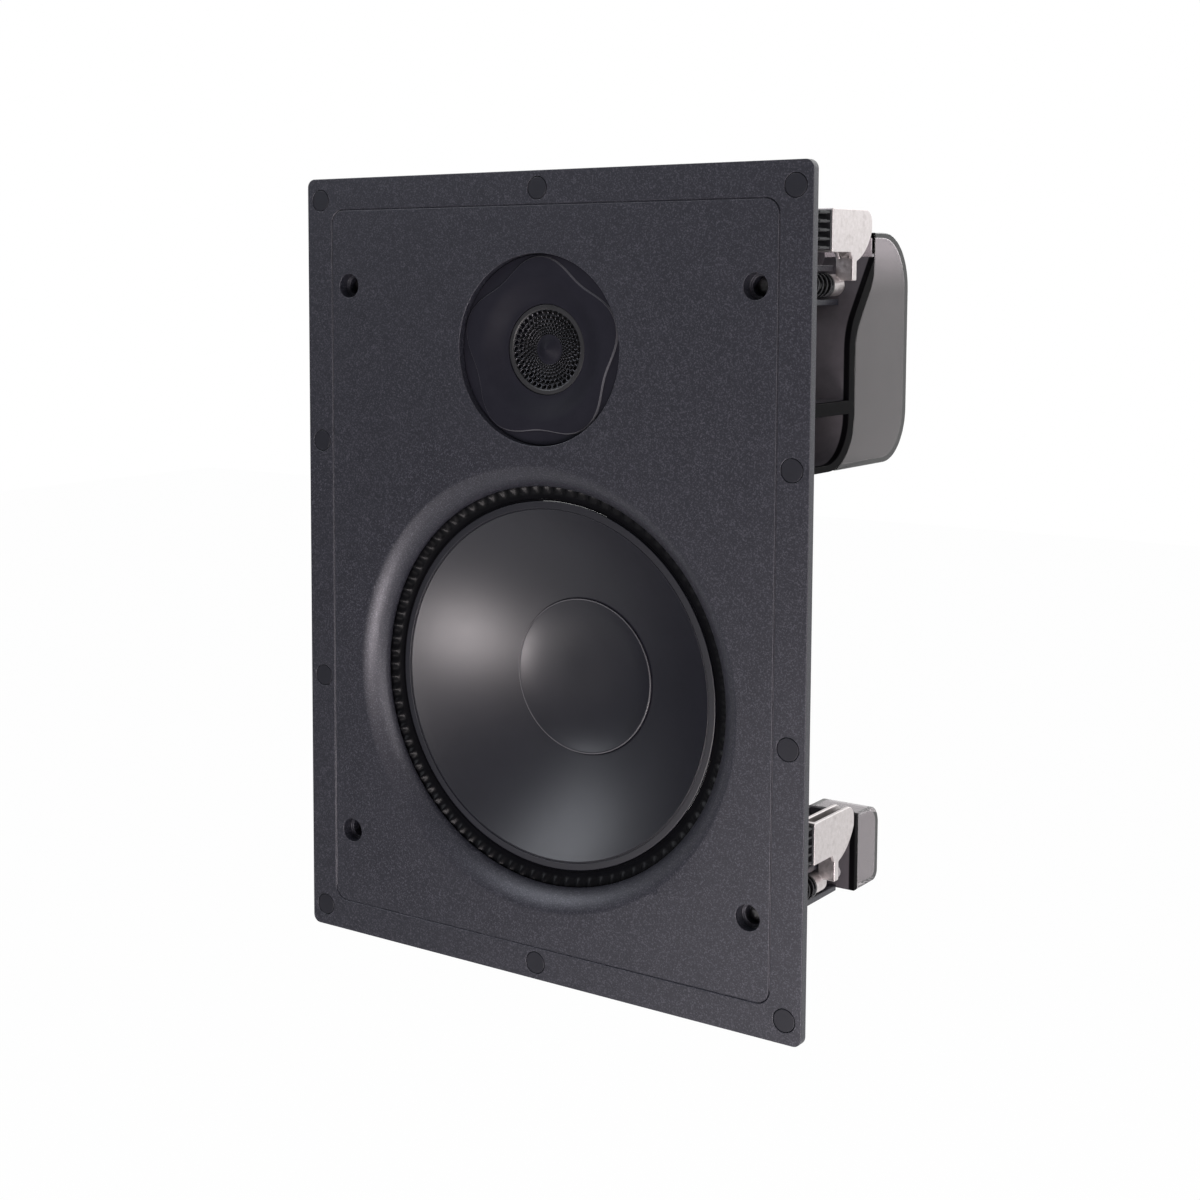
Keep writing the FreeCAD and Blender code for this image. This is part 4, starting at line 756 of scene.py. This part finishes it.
seamBead = {"radius": 37.15, "depth": 35.60, "thick": 0.32}
# the bead's shape is real; its paler line is the painted highlight from the cone finish
addPiece("capSeam", revolved("capSeam", [
    (seamBead["radius"] + seamBead["thick"] * math.cos(math.pi * n / 5),
     seamBead["depth"] + seamBead["thick"] * math.sin(math.pi * n / 5)) for n in range(10)], woofer, 200),
    "cone_material", "woofer_moving", (), 80)

roll = {"inner": 87.75, "outer": 97.5, "rim": 101, "foot": 8.7, "rise": 2.3, "lean": 1.6, "ribs": 90,
        "ribRise": 1.4, "ribFrom": 0.24, "ribTo": 0.86, "sheet": 0.8}


def ribbed(radius, depth, angle):
    # the crown of the roll carries close cross ribs
    t = (radius - roll["inner"]) / (roll["outer"] - roll["inner"])
    if roll["ribFrom"] < t < roll["ribTo"]:
        share = (t - roll["ribFrom"]) / (roll["ribTo"] - roll["ribFrom"])
        wave = 0.5 + 0.5 * math.cos(roll["ribs"] * angle)
        depth -= roll["ribRise"] * (wave ** 1.4 - 0.6) * math.sin(math.pi * share) ** 0.7
    return radius, depth


rollFront = [(roll["inner"] + (roll["outer"] - roll["inner"]) * t,
              roll["foot"] - roll["rise"] * math.sin(math.pi * t ** roll["lean"]))
             for t in (n / 22 for n in range(23))]
rollBack = [(radius, depth + roll["sheet"]) for radius, depth in reversed(rollFront)]
addPiece("surroundRoll", revolved("surroundRoll", [
    *rollFront, (roll["rim"], roll["foot"]), (roll["rim"], roll["foot"] + roll["sheet"]), *rollBack],
    woofer, roll["ribs"] * 8, True, ribbed), "surround_rubber", "speaker_frame", ("woofer_surround",), 70)
# the skirt follows the cone and its foot leans in with the basket's wall
skirt = {"edge": 86.75, "outside": 87.66, "inside": 87.16, "straight": (11, 12, 13, 14), "foot": 15,
         "lean": 0.83}
addPiece("surroundSkirt", revolved("surroundSkirt", [
    (skirt["edge"], 8.9, 0.2), (skirt["outside"], 8.6, 0.3),
    *[(skirt["outside"], depth) for depth in skirt["straight"]],
    (skirt["outside"] - skirt["lean"], skirt["foot"]), (skirt["inside"] - skirt["lean"], skirt["foot"]),
    *[(skirt["inside"], depth) for depth in reversed(skirt["straight"])],
    (87.1, 9.9), (skirt["edge"], 9.7)], woofer, 720), "surround_rubber", "woofer_moving")

spider = {"inner": 20.5, "outer": 57.4, "middle": 50.4, "swing": 1.1, "waves": 6, "sheet": 0.5,
          "cup": 5.5, "cupShare": 0.25}  # the cup leaves room for the cone's neck at full travel
waveFront = [(spider["inner"] + (spider["outer"] - spider["inner"]) * t,
              spider["middle"] + spider["swing"] * math.cos(2 * math.pi * spider["waves"] * t)
              + spider["cup"] * max(0, 1 - t / spider["cupShare"]))
             for t in (n / 72 for n in range(73))]
waveBack = [(radius, depth + spider["sheet"]) for radius, depth in reversed(waveFront)]
addPiece("spiderRing", revolved("spiderRing", waveFront + waveBack, woofer, 144), "spider_cloth",
         "speaker_frame", ("woofer_spider",), 60)

former = {"outside": 20.3, "inside": 19.5, "front": 44.5, "back": 76.5}
addPiece("coilFormer", revolved("coilFormer", [
    (former["inside"], former["front"], 0.2), (former["outside"], former["front"], 0.2),
    (former["outside"], former["back"], 0.2), (former["inside"], former["back"], 0.2)], woofer, 96),
    "former_paper", "woofer_moving", ("voice_coil_former",))

dressNode("woofer_gasket", 0.2)
dressNode("woofer_basket", 0.35)

motor = {"gap": 21.3, "plate": 50, "ferrite": 60, "ferriteInner": 24.3, "vent": 6, "pole": 18.5,
         "front": 66, "ferriteFront": 72, "ferriteBack": 90, "back": 96}
addPiece("wooferTopPlate", revolved("wooferTopPlate", [
    (motor["gap"], motor["front"], 0.3), (motor["plate"], motor["front"], 0.5),
    (motor["plate"], motor["ferriteFront"], 0.5), (motor["gap"], motor["ferriteFront"], 0.3)],
    woofer, 160), "motor_steel", "speaker_frame", ("woofer_top_plate",))
addPiece("wooferMagnet", revolved("wooferMagnet", [
    (motor["ferriteInner"], motor["ferriteFront"], 0.5), (motor["ferrite"], motor["ferriteFront"], 1.6),
    (motor["ferrite"], motor["ferriteBack"], 1.6), (motor["ferriteInner"], motor["ferriteBack"], 0.5)],
    woofer, 180), "ferrite", "speaker_frame", ("woofer_magnet",))
addPiece("wooferBackPlate", revolved("wooferBackPlate", [
    (motor["vent"], motor["front"], 0.4), (motor["pole"], motor["front"], 0.4),
    (motor["pole"], motor["ferriteBack"]), (motor["plate"], motor["ferriteBack"], 0.4),
    (motor["plate"], motor["back"], 1.2), (motor["vent"] + 3, motor["back"], 1.2),
    (motor["vent"], motor["back"] - 1.5, 0.5)], woofer, 160),
    "motor_steel", "speaker_frame", ("woofer_back_plate",))
print("woofer built")


# Fasteners

def screwForm(look):
    # a pan head with a cross recess that faces -Y, and a threaded shank behind it
    head, rise, shank, length = look["head"], look["rise"], look["shank"], look["length"]
    dome = revolved("head", [(0, -rise), (head * 0.55, -rise * 0.98), (head * 0.86, -rise * 0.78),
                             (head, -rise * 0.3), (head, 0, 0.15), (shank, 0), (0, 0)], origin, 48, False)
    cutter = bmesh.new()
    for wide, tall in ((head * 0.56, head * 0.13), (head * 0.13, head * 0.56)):
        addBlock(cutter, [(sx * wide * scale, y, sz * tall * scale)
                          for y, scale in ((-rise * 1.4, 1.15), (-rise * 0.28, 0.45))
                          for sx, sz in ((-1, -1), (1, -1), (1, 1), (-1, 1))])
    dome = carved(dome, formed("recess", cutter))
    turns, parts = length / look["pitch"], 12
    rings, around = int(turns * parts) + 1, 20
    vertices, faces = [], []
    for ring in range(rings):
        depth = length * ring / (rings - 1)
        for step in range(around):
            angle = 2 * math.pi * step / around
            phase = (depth / look["pitch"] - step / around) % 1
            crest = max(0.0, 1 - abs(phase - 0.5) * 3.2)
            radius = shank - look["thread"] * (1 - crest)
            if ring in (0, rings - 1):
                radius = shank - look["thread"]
            vertices.append((radius * math.cos(angle) / 1000, depth / 1000, radius * math.sin(angle) / 1000))
    for ring in range(rings - 1):
        for step in range(around):
            after = (step + 1) % around
            faces.append((ring * around + step, ring * around + after,
                          (ring + 1) * around + after, (ring + 1) * around + step))
    faces.append(tuple(range(around)))
    faces.append(tuple(range((rings - 1) * around, rings * around)))
    return joined("screw", [dome, tidied("thread", vertices, faces)])


def placed(x, y, z, turned=0, flipped=False):
    # a spot in millimetres; flipped turns the head towards +Y
    move = Matrix.Translation((x / 1000, y / 1000, z / 1000)) @ Matrix.Rotation(math.radians(turned), 4, "Y")
    return move @ Matrix.Rotation(math.pi, 4, "Z") if flipped else move


panScrew = {"head": 3.3, "rise": 2.2, "shank": 1.9, "thread": 0.35, "pitch": 1.4}


def addScrews(name, node, look, spots):
    form = screwForm({**panScrew, "length": look["length"]})
    addPiece(name, joined(name, [form] * len(spots), spots), "screw_black", "speaker_frame", (node,))


def screwCircle(look, middle):
    # heads towards +Y, spread evenly, each recess turned further than the last
    angles = [math.radians(look["first"] + 360 / look["count"] * n) for n in range(look["count"])]
    return [placed(look["circle"] * math.cos(angle), look["depth"],
                   middle["z"] + look["circle"] * math.sin(angle), look["turned"] * n, True)
            for n, angle in enumerate(angles)]


wooferScrews = {"count": 8, "circle": 104, "first": 22.5, "depth": 12.2, "turned": 37, "length": 11.2}
tweeterScrews = {"count": 5, "circle": 38, "first": 90, "depth": 5.0, "turned": 51, "length": 5.0}
coverScrews = {"across": 84, "heights": (85, 128), "depth": 125.4, "turned": 29, "length": 12.5}
addScrews("wooferScrews", "woofer_screws", wooferScrews, screwCircle(wooferScrews, woofer))
addScrews("tweeterScrews", "tweeter_screws", tweeterScrews, screwCircle(tweeterScrews, tweeter))
addScrews("coverScrews", "cover_screws", coverScrews, [
    placed(side * coverScrews["across"], coverScrews["depth"], height, coverScrews["turned"] * height, True)
    for side in (1, -1) for height in coverScrews["heights"]])
print("fasteners cut")


# Tweeter

face = {"edge": 43.55, "front": -1.3, "back": 1.7, "plateau": -2.3, "tip": 42.5, "valley": 36.5,
        "guide": 34,
        "mouth": 20.85, "mouthDepth": 2.9, "ledge": 18.8, "seat": 4.3, "neck": 31, "neckBack": 13.6}


def lobed(radius, depth, angle):
    # radii written round 1000 ride on the lobed outline
    if radius > 500:
        swing = (face["tip"] - face["valley"]) / 2
        radius = radius - 1000 + face["valley"] + swing + swing * math.cos(5 * (angle - math.pi / 2))
    return radius, depth


horn = [(face["mouth"] + (face["guide"] - face["mouth"]) * t,
         face["plateau"] + (face["mouthDepth"] - face["plateau"]) * (1 - t * t * (3 - 2 * t)))
        for t in (n / 24 for n in range(1, 24))]
step = [(1000 - 0.55, face["plateau"]), (1000 - 0.3, face["plateau"] + 0.03),
        (1000 - 0.12, face["plateau"] + 0.14), (1000 - 0.02, face["plateau"] + 0.34),
        (1000 + 0.04, face["front"] - 0.3), (1000 + 0.1, face["front"] - 0.12),
        (1000 + 0.22, face["front"] - 0.02), (1000 + 0.36, face["front"])]
addPiece("tweeterFace", revolved("tweeterFace", [
    (face["neck"], face["back"]), (face["neck"], face["neckBack"], 0.4),
    (face["ledge"], face["neckBack"], 0.2), (face["ledge"], face["seat"], 0.15),
    (face["mouth"], face["seat"], 0.1), (face["mouth"], face["mouthDepth"] + 0.5, 0.1),
    (face["mouth"], face["mouthDepth"], 0.25), *horn, (face["guide"], face["plateau"]),
    (35.2, face["plateau"]), *step, (43.0, face["front"]),
    (43.4, face["front"] + 0.12), (face["edge"], face["front"] + 0.4), (face["edge"], face["back"], 0.3)],
    tweeter, 360, True, lobed), "faceplate_plastic", "speaker_frame", ("tweeter_faceplate",), 60)

lens = {"rim": 20.65, "rimInner": 18.3, "front": 3.5, "sheet": 0.12, "bullet": 6.0, "dip": 5.9, "bow": 0.6,
        "tip": 2.3, "rings": 7, "holes": 38, "first": 6.9, "last": 18.35, "bar": 0.27}


def dishDepth(radius):
    t = (radius - lens["bullet"]) / (lens["rimInner"] - lens["bullet"])
    return lens["dip"] + (lens["front"] + 0.15 - lens["dip"]) * t + lens["bow"] * 4 * t * (1 - t)


def piercedDish():
    # every cell is a ring of faces from its own border to a round hole
    grow = (lens["last"] / lens["first"]) ** (1 / lens["rings"])
    vertices, faces = [], []
    for ring in range(lens["rings"]):
        inner, outer = lens["first"] * grow ** ring, lens["first"] * grow ** (ring + 1)
        middle = (inner + outer) / 2
        width = 2 * math.pi / lens["holes"]
        for cell in range(lens["holes"]):
            centre = width * (cell + 0.5 * (ring % 2))
            border, hole = [], []
            for spot in range(16):
                turn = 2 * math.pi * (spot + 0.5) / 16
                across, away = math.cos(turn), math.sin(turn)
                reach = max(abs(across), abs(away))
                bx, by = across / reach, away / reach
                border.append((middle + by * (outer - inner) / 2, centre + bx * width / 2))
                halfUp = (outer - inner) / 2 * (1 - lens["bar"])
                halfSide = middle * width / 2 * (1 - lens["bar"])
                size = min(halfUp, halfSide)
                hole.append((middle + away * size, centre + across * size / middle))
            start = len(vertices)
            for radius, angle in border + hole:
                vertices.append(((radius * math.cos(angle)) / 1000, dishDepth(radius) / 1000,
                                 (tweeter["z"] + radius * math.sin(angle)) / 1000))
            for spot in range(16):
                after = (spot + 1) % 16
                faces.append((start + spot, start + after, start + 16 + after, start + 16 + spot))
    return tidied("piercedDish", vertices, faces)


dish = addPiece("tweeterLens", piercedDish(), "lens_metal", "speaker_frame", ("tweeter_lens",), 80)
thick = dish.modifiers.new("Sheet", "SOLIDIFY")
thick.thickness, thick.offset, thick.use_even_offset = lens["sheet"] / 1000, 0, True
dish.modifiers.move(1, 0)
addPiece("lensRim", revolved("lensRim", [
    (18.1, 4.25, 0.2), (lens["rim"], 4.28, 0.2), (lens["rim"], 3.35, 0.35), (18.9, 3.3, 0.35),
    (18.1, 3.75, 0.2)], tweeter, 160), "cup_plastic", "speaker_frame")
bullet = [(0, lens["tip"]), (0.35, lens["tip"] + 0.04), (0.8, lens["tip"] + 0.3), (2.4, 3.42), (4.2, 4.7),
          (5.4, 5.5), (6.2, 5.86), (7.15, 5.95), (7.15, 6.35), (5.4, 6.4), (0, 6.4)]
addPiece("lensBullet", revolved("lensBullet", bullet, tweeter, 96, False), "faceplate_plastic",
         "speaker_frame", (), 70)

dome = {"radius": 13, "foot": 12.8, "rise": 4.2, "sheet": 0.35, "back": 16.6}
domeFront = [(dome["radius"] * t,
              dome["foot"] - dome["rise"] * math.sqrt(max(0, 1 - (t * 0.96) ** 2)) + 1.1)
             for t in (n / 20 for n in range(21))]
domeBack = [(radius * 0.97, depth + dome["sheet"]) for radius, depth in reversed(domeFront)]
addPiece("tweeterDome", revolved("tweeterDome", [
    *domeFront, (dome["radius"], dome["back"]), (dome["radius"] - 0.4, dome["back"]), *domeBack],
    tweeter, 120, False), "dome_silk", "tweeter_moving", ("tweeter_dome",), 60)
edgeRoll = [(13.15 + 5.2 * t, 12.9 - 0.8 * math.sin(math.pi * t)) for t in (n / 12 for n in range(13))]
edgeBack = [(radius, depth + 0.4) for radius, depth in reversed(edgeRoll)]
addPiece("domeEdge", revolved("domeEdge", edgeRoll + edgeBack, tweeter, 120), "dome_silk",
         "speaker_frame", ("tweeter_surround",), 60)

tweeterMotor = {"radius": 31, "plate": 30, "gap": 13.5, "pole": 12.2, "bore": 16,
                "front": 13.6, "magnetFront": 17.6, "magnetBack": 26, "back": 30}
front, seatBack = tweeterMotor["front"], tweeterMotor["magnetFront"]
magnetBack, rearFace = tweeterMotor["magnetBack"], tweeterMotor["back"]
addPiece("tweeterTopPlate", revolved("tweeterTopPlate", [
    (tweeterMotor["gap"], front, 0.3), (tweeterMotor["radius"], front, 0.4),
    (tweeterMotor["radius"], seatBack, 0.4), (tweeterMotor["gap"], seatBack, 0.3)],
    tweeter, 120), "motor_steel", "speaker_frame", ("tweeter_top_plate",))
addPiece("tweeterMagnet", revolved("tweeterMagnet", [
    (tweeterMotor["bore"], seatBack, 0.3), (tweeterMotor["radius"], seatBack, 1.1),
    (tweeterMotor["radius"], magnetBack, 1.1), (tweeterMotor["bore"], magnetBack, 0.3)],
    tweeter, 120), "ferrite", "speaker_frame", ("tweeter_magnet",))
addPiece("tweeterBackPlate", revolved("tweeterBackPlate", [
    (0, 14.6), (tweeterMotor["pole"], 14.6, 0.3), (tweeterMotor["pole"], magnetBack),
    (tweeterMotor["plate"], magnetBack, 0.3), (tweeterMotor["plate"], rearFace, 0.6), (0, rearFace)],
    tweeter, 120, False), "motor_steel", "speaker_frame", ("tweeter_back_plate",))
cup = {"radius": 28.5, "front": 30, "back": 48, "wall": 1.6}
addPiece("tweeterCup", revolved("tweeterCup", [
    (cup["radius"] - cup["wall"], cup["front"], 0.2), (cup["radius"], cup["front"], 0.3),
    (cup["radius"], cup["front"] + 1.6, 0.3), (cup["radius"] - 0.5, cup["front"] + 1.9, 0.2),
    (cup["radius"] - 0.6, cup["back"] - 3.2, 1.2), (cup["radius"] - 3.4, cup["back"], 1.4),
    (cup["radius"] - 9, cup["back"], 0.3), (cup["radius"] - 9.4, cup["back"] - 0.4, 0.2),
    (4.2, cup["back"] - 0.4, 0.2), (4.0, cup["back"], 0.2), (0, cup["back"])],
    tweeter, 140, False), "cup_plastic", "speaker_frame",
    ("tweeter_rear_cup",))
print("tweeter built")


# Wall clamps

clamp = {"across": 110.5, "up": 135.5, "coil": 5.25, "wire": 0.55, "seat": 9.0, "lowerShift": 8.0,
         "hub": 58.4, "reliefs": 0.45, "turns": 13, "flat": 1.15, "washerFront": 1.25, "washerBack": 0.05,
         "flag": 13, "travelUpper": 28, "travelLower": 20}
clampScrew = {"head": 3.9, "rise": 2.6, "shank": 2.0, "thread": 0.32, "pitch": 2.0, "length": 67}
pad = {"base": 1.4, "reach": 12, "ridge": 1.7, "ridges": 5, "low": 14.5, "high": 33.5, "near": 2.6,
       "far": 10.1, "toothStep": 2.5, "tooth": 1.9, "rowStep": 2.9, "row": 2.2}
screwMesh = screwForm(clampScrew)
for tag, (side, upper) in corners.items():
    middle = {"x": side * clamp["across"], "z": upper * clamp["up"]}
    shift = clamp["lowerShift"] if upper < 0 else 0
    hub = clamp["hub"] - shift
    screw = joined("clampScrew", [screwMesh], [placed(middle["x"], 6.0, middle["z"], 20)])
    addPiece(f"clampScrew.{tag}", screw, "clamp_screw_steel", bodyOf[f"clamp_screw_{tag}"],
             (f"clamp_screw_{tag}",))
    front, back = clamp["seat"] + clamp["wire"], hub - clamp["washerFront"] - clamp["wire"]
    turns = clamp["turns"] - (2 if upper < 0 else 0)
    flat = clamp["flat"]
    line = []
    for number in range(turns * 20 + 1):
        t = number / (turns * 20)
        turn = t * turns
        share = min(max((turn - 1) / (turns - 2), 0), 1)
        depth = (front + flat * min(turn, 1) + (back - front - 2 * flat) * share
                 + flat * max(0, turn - turns + 1))
        line.append((middle["x"] + clamp["coil"] * math.cos(2 * math.pi * turn), depth,
                     middle["z"] + clamp["coil"] * math.sin(2 * math.pi * turn)))
    spring = addPiece(f"clampSpring.{tag}", swept("clampSpring", line, clamp["wire"], 10), "spring_black",
                      "speaker_frame", (f"clamp_spring_{tag}",), 60)
    length = hub - clamp["washerFront"] - clamp["seat"]
    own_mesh(spring)
    near, far = hub - clamp["washerFront"], hub - clamp["washerBack"]
    addPiece(f"clampWasher.{tag}", revolved("clampWasher", [
        (2.3, near, 0.15), (5.8, near, 0.25), (5.8, far, 0.25), (2.3, far, 0.15)], middle, 64),
        "clamp_screw_steel", bodyOf[f"clamp_washer_{tag}"], (f"clamp_washer_{tag}",))
    dressNode(f"clamp_arm_{tag}", clamp["reliefs"])
    form = bmesh.new()
    flag = hub - clamp["flag"]
    low, high = (pad["low"], pad["high"]) if side > 0 else (-pad["high"], -pad["low"])
    nearX, farX = clamp["across"] + pad["near"], clamp["across"] + pad["far"]
    if side < 0:
        nearX, farX = -farX, -nearX
    tapered(form, (nearX, flag - pad["base"], middle["z"] + low + 1), (farX, flag, middle["z"] + high - 1))
    pitch = (pad["high"] - pad["low"] - 2 - pad["ridge"]) / (pad["ridges"] - 1)
    for ridge in range(pad["ridges"]):
        foot = middle["z"] + low + 1 + ridge * pitch
        tapered(form, (nearX + 0.25, flag - pad["reach"] + 1.0, foot + 0.35),
                (farX - 0.25, flag - pad["base"], foot + pad["ridge"] - 0.35), 0.1)
        for tooth in range(3):
            for row in range(3):
                start = nearX + 0.1 + tooth * pad["toothStep"]
                depth = flag - pad["reach"] + row * pad["rowStep"]
                tapered(form, (start, depth, foot),
                        (start + pad["tooth"], depth + pad["row"], foot + pad["ridge"]), 0.3)
    addPiece(f"clampPad.{tag}", formed("clampPad", form), "clamp_pad_black", bodyOf[f"clamp_pad_{tag}"],
             (f"clamp_pad_{tag}",), 40, 0.12)
print("clamps built")


# Rear tray, smoky covers and crossover

rear = {"trayRounding": 0.4, "coverRounding": 0.5, "capRounding": 0.4, "boardTop": 76.2}
dressNode("rear_tray", rear["trayRounding"])
dressNode("rear_cover", rear["coverRounding"])
for where in ("right", "left"):
    dressNode(f"clamp_cap_{where}", rear["capRounding"])
    dressNode(f"clamp_cap_rim_{where}", 0.3)
    dressNode(f"terminal_lever_{where}", 0.2)
dressNode("terminal_block", 0.3)
dressNode("crossover_board", 0.12)
dressNode("resistor", 0.5)

bobbin = {"flange": 1.2, "bore": 0.42, "z": 112.5}
coils = {"large": {"x": -44, "radius": 18, "length": 16, "wire": 1.1},
         "small": {"x": -8, "radius": 14, "length": 12, "wire": 0.9}}
flange = bobbin["flange"]
for size, coil in coils.items():
    middle = {"x": coil["x"], "z": bobbin["z"]}
    base, top = rear["boardTop"], rear["boardTop"] + coil["length"]
    inner, wound = coil["radius"] * bobbin["bore"], coil["radius"] - 1.5
    winding = [(inner + flange, base + flange), (wound, base + flange)]
    rows = int((coil["length"] - 2 * flange) / coil["wire"])
    pitch = (coil["length"] - 2 * flange) / rows
    for row in range(rows):
        for t in (0.15, 0.38, 0.62, 0.85):
            bulge = 0.42 * math.sin(math.pi * t)
            winding.append((wound + bulge, base + flange + pitch * (row + t)))
    winding += [(wound, top - flange), (inner + flange, top - flange)]
    addPiece(f"coil.{size}", revolved("coil", winding, middle, 96), "coil_copper", "speaker_frame",
             (f"inductor_{size}",), 75)
    for end, low in (("foot", base), ("top", top - flange)):
        addPiece(f"bobbin.{size}.{end}", revolved("bobbin", [
            (inner, low, 0.15), (coil["radius"], low, 0.3), (coil["radius"], low + flange, 0.3),
            (inner, low + flange, 0.15)], middle, 80), "terminal_plastic", "speaker_frame")
    addPiece(f"bobbin.{size}.core", revolved("bobbinCore", [
        (inner, base + flange), (inner + flange, base + flange), (inner + flange, top - flange),
        (inner, top - flange)], middle, 80), "terminal_plastic", "speaker_frame")

capacitors = {"large": {"x": 20, "radius": 9, "length": 34, "z": 122.5, "lead": 0.45},
              "small": {"x": 20, "radius": 7, "length": 28, "z": 102.5, "lead": 0.45}}
for size, look in capacitors.items():
    radius, length, start = look["radius"], look["length"], look["x"]
    axis = rear["boardTop"] + radius
    lie = Matrix.Translation((start, axis, 0)) @ Matrix.Rotation(math.radians(-90), 4, "Z")
    can = revolved("can", [
        (0, 0.9), (radius - 2.2, 0.9, 0.2), (radius - 1.6, 0, 0.4), (radius, 0, 1.2), (radius, length, 1.2),
        (radius - 1.6, length, 0.4), (radius - 2.2, length - 0.9, 0.2), (0, length - 0.9)],
        {"x": 0, "z": look["z"]}, 64, False, None, lie)
    addPiece(f"capacitor.{size}", can, "capacitor_film", "speaker_frame", (f"capacitor_{size}",))
    leads = [swept("lead", [(start + end, axis, look["z"]), (start + end + way * 2.4, axis, look["z"]),
                            (start + end + way * 3.2, axis - 0.8, look["z"]),
                            (start + end + way * 3.2, rear["boardTop"] + 0.1, look["z"])], look["lead"], 8)
             for end, way in ((0.9, -1), (length - 0.9, 1))]
    addPiece(f"leads.{size}", joined("leads", leads), "clamp_screw_steel", "speaker_frame", (), 60)
print("rear pieces built")

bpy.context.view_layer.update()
faceCount = sum(len(thing.data.polygons) for thing in bpy.data.objects if thing.type == "MESH")
print("faces in all:", faceCount)
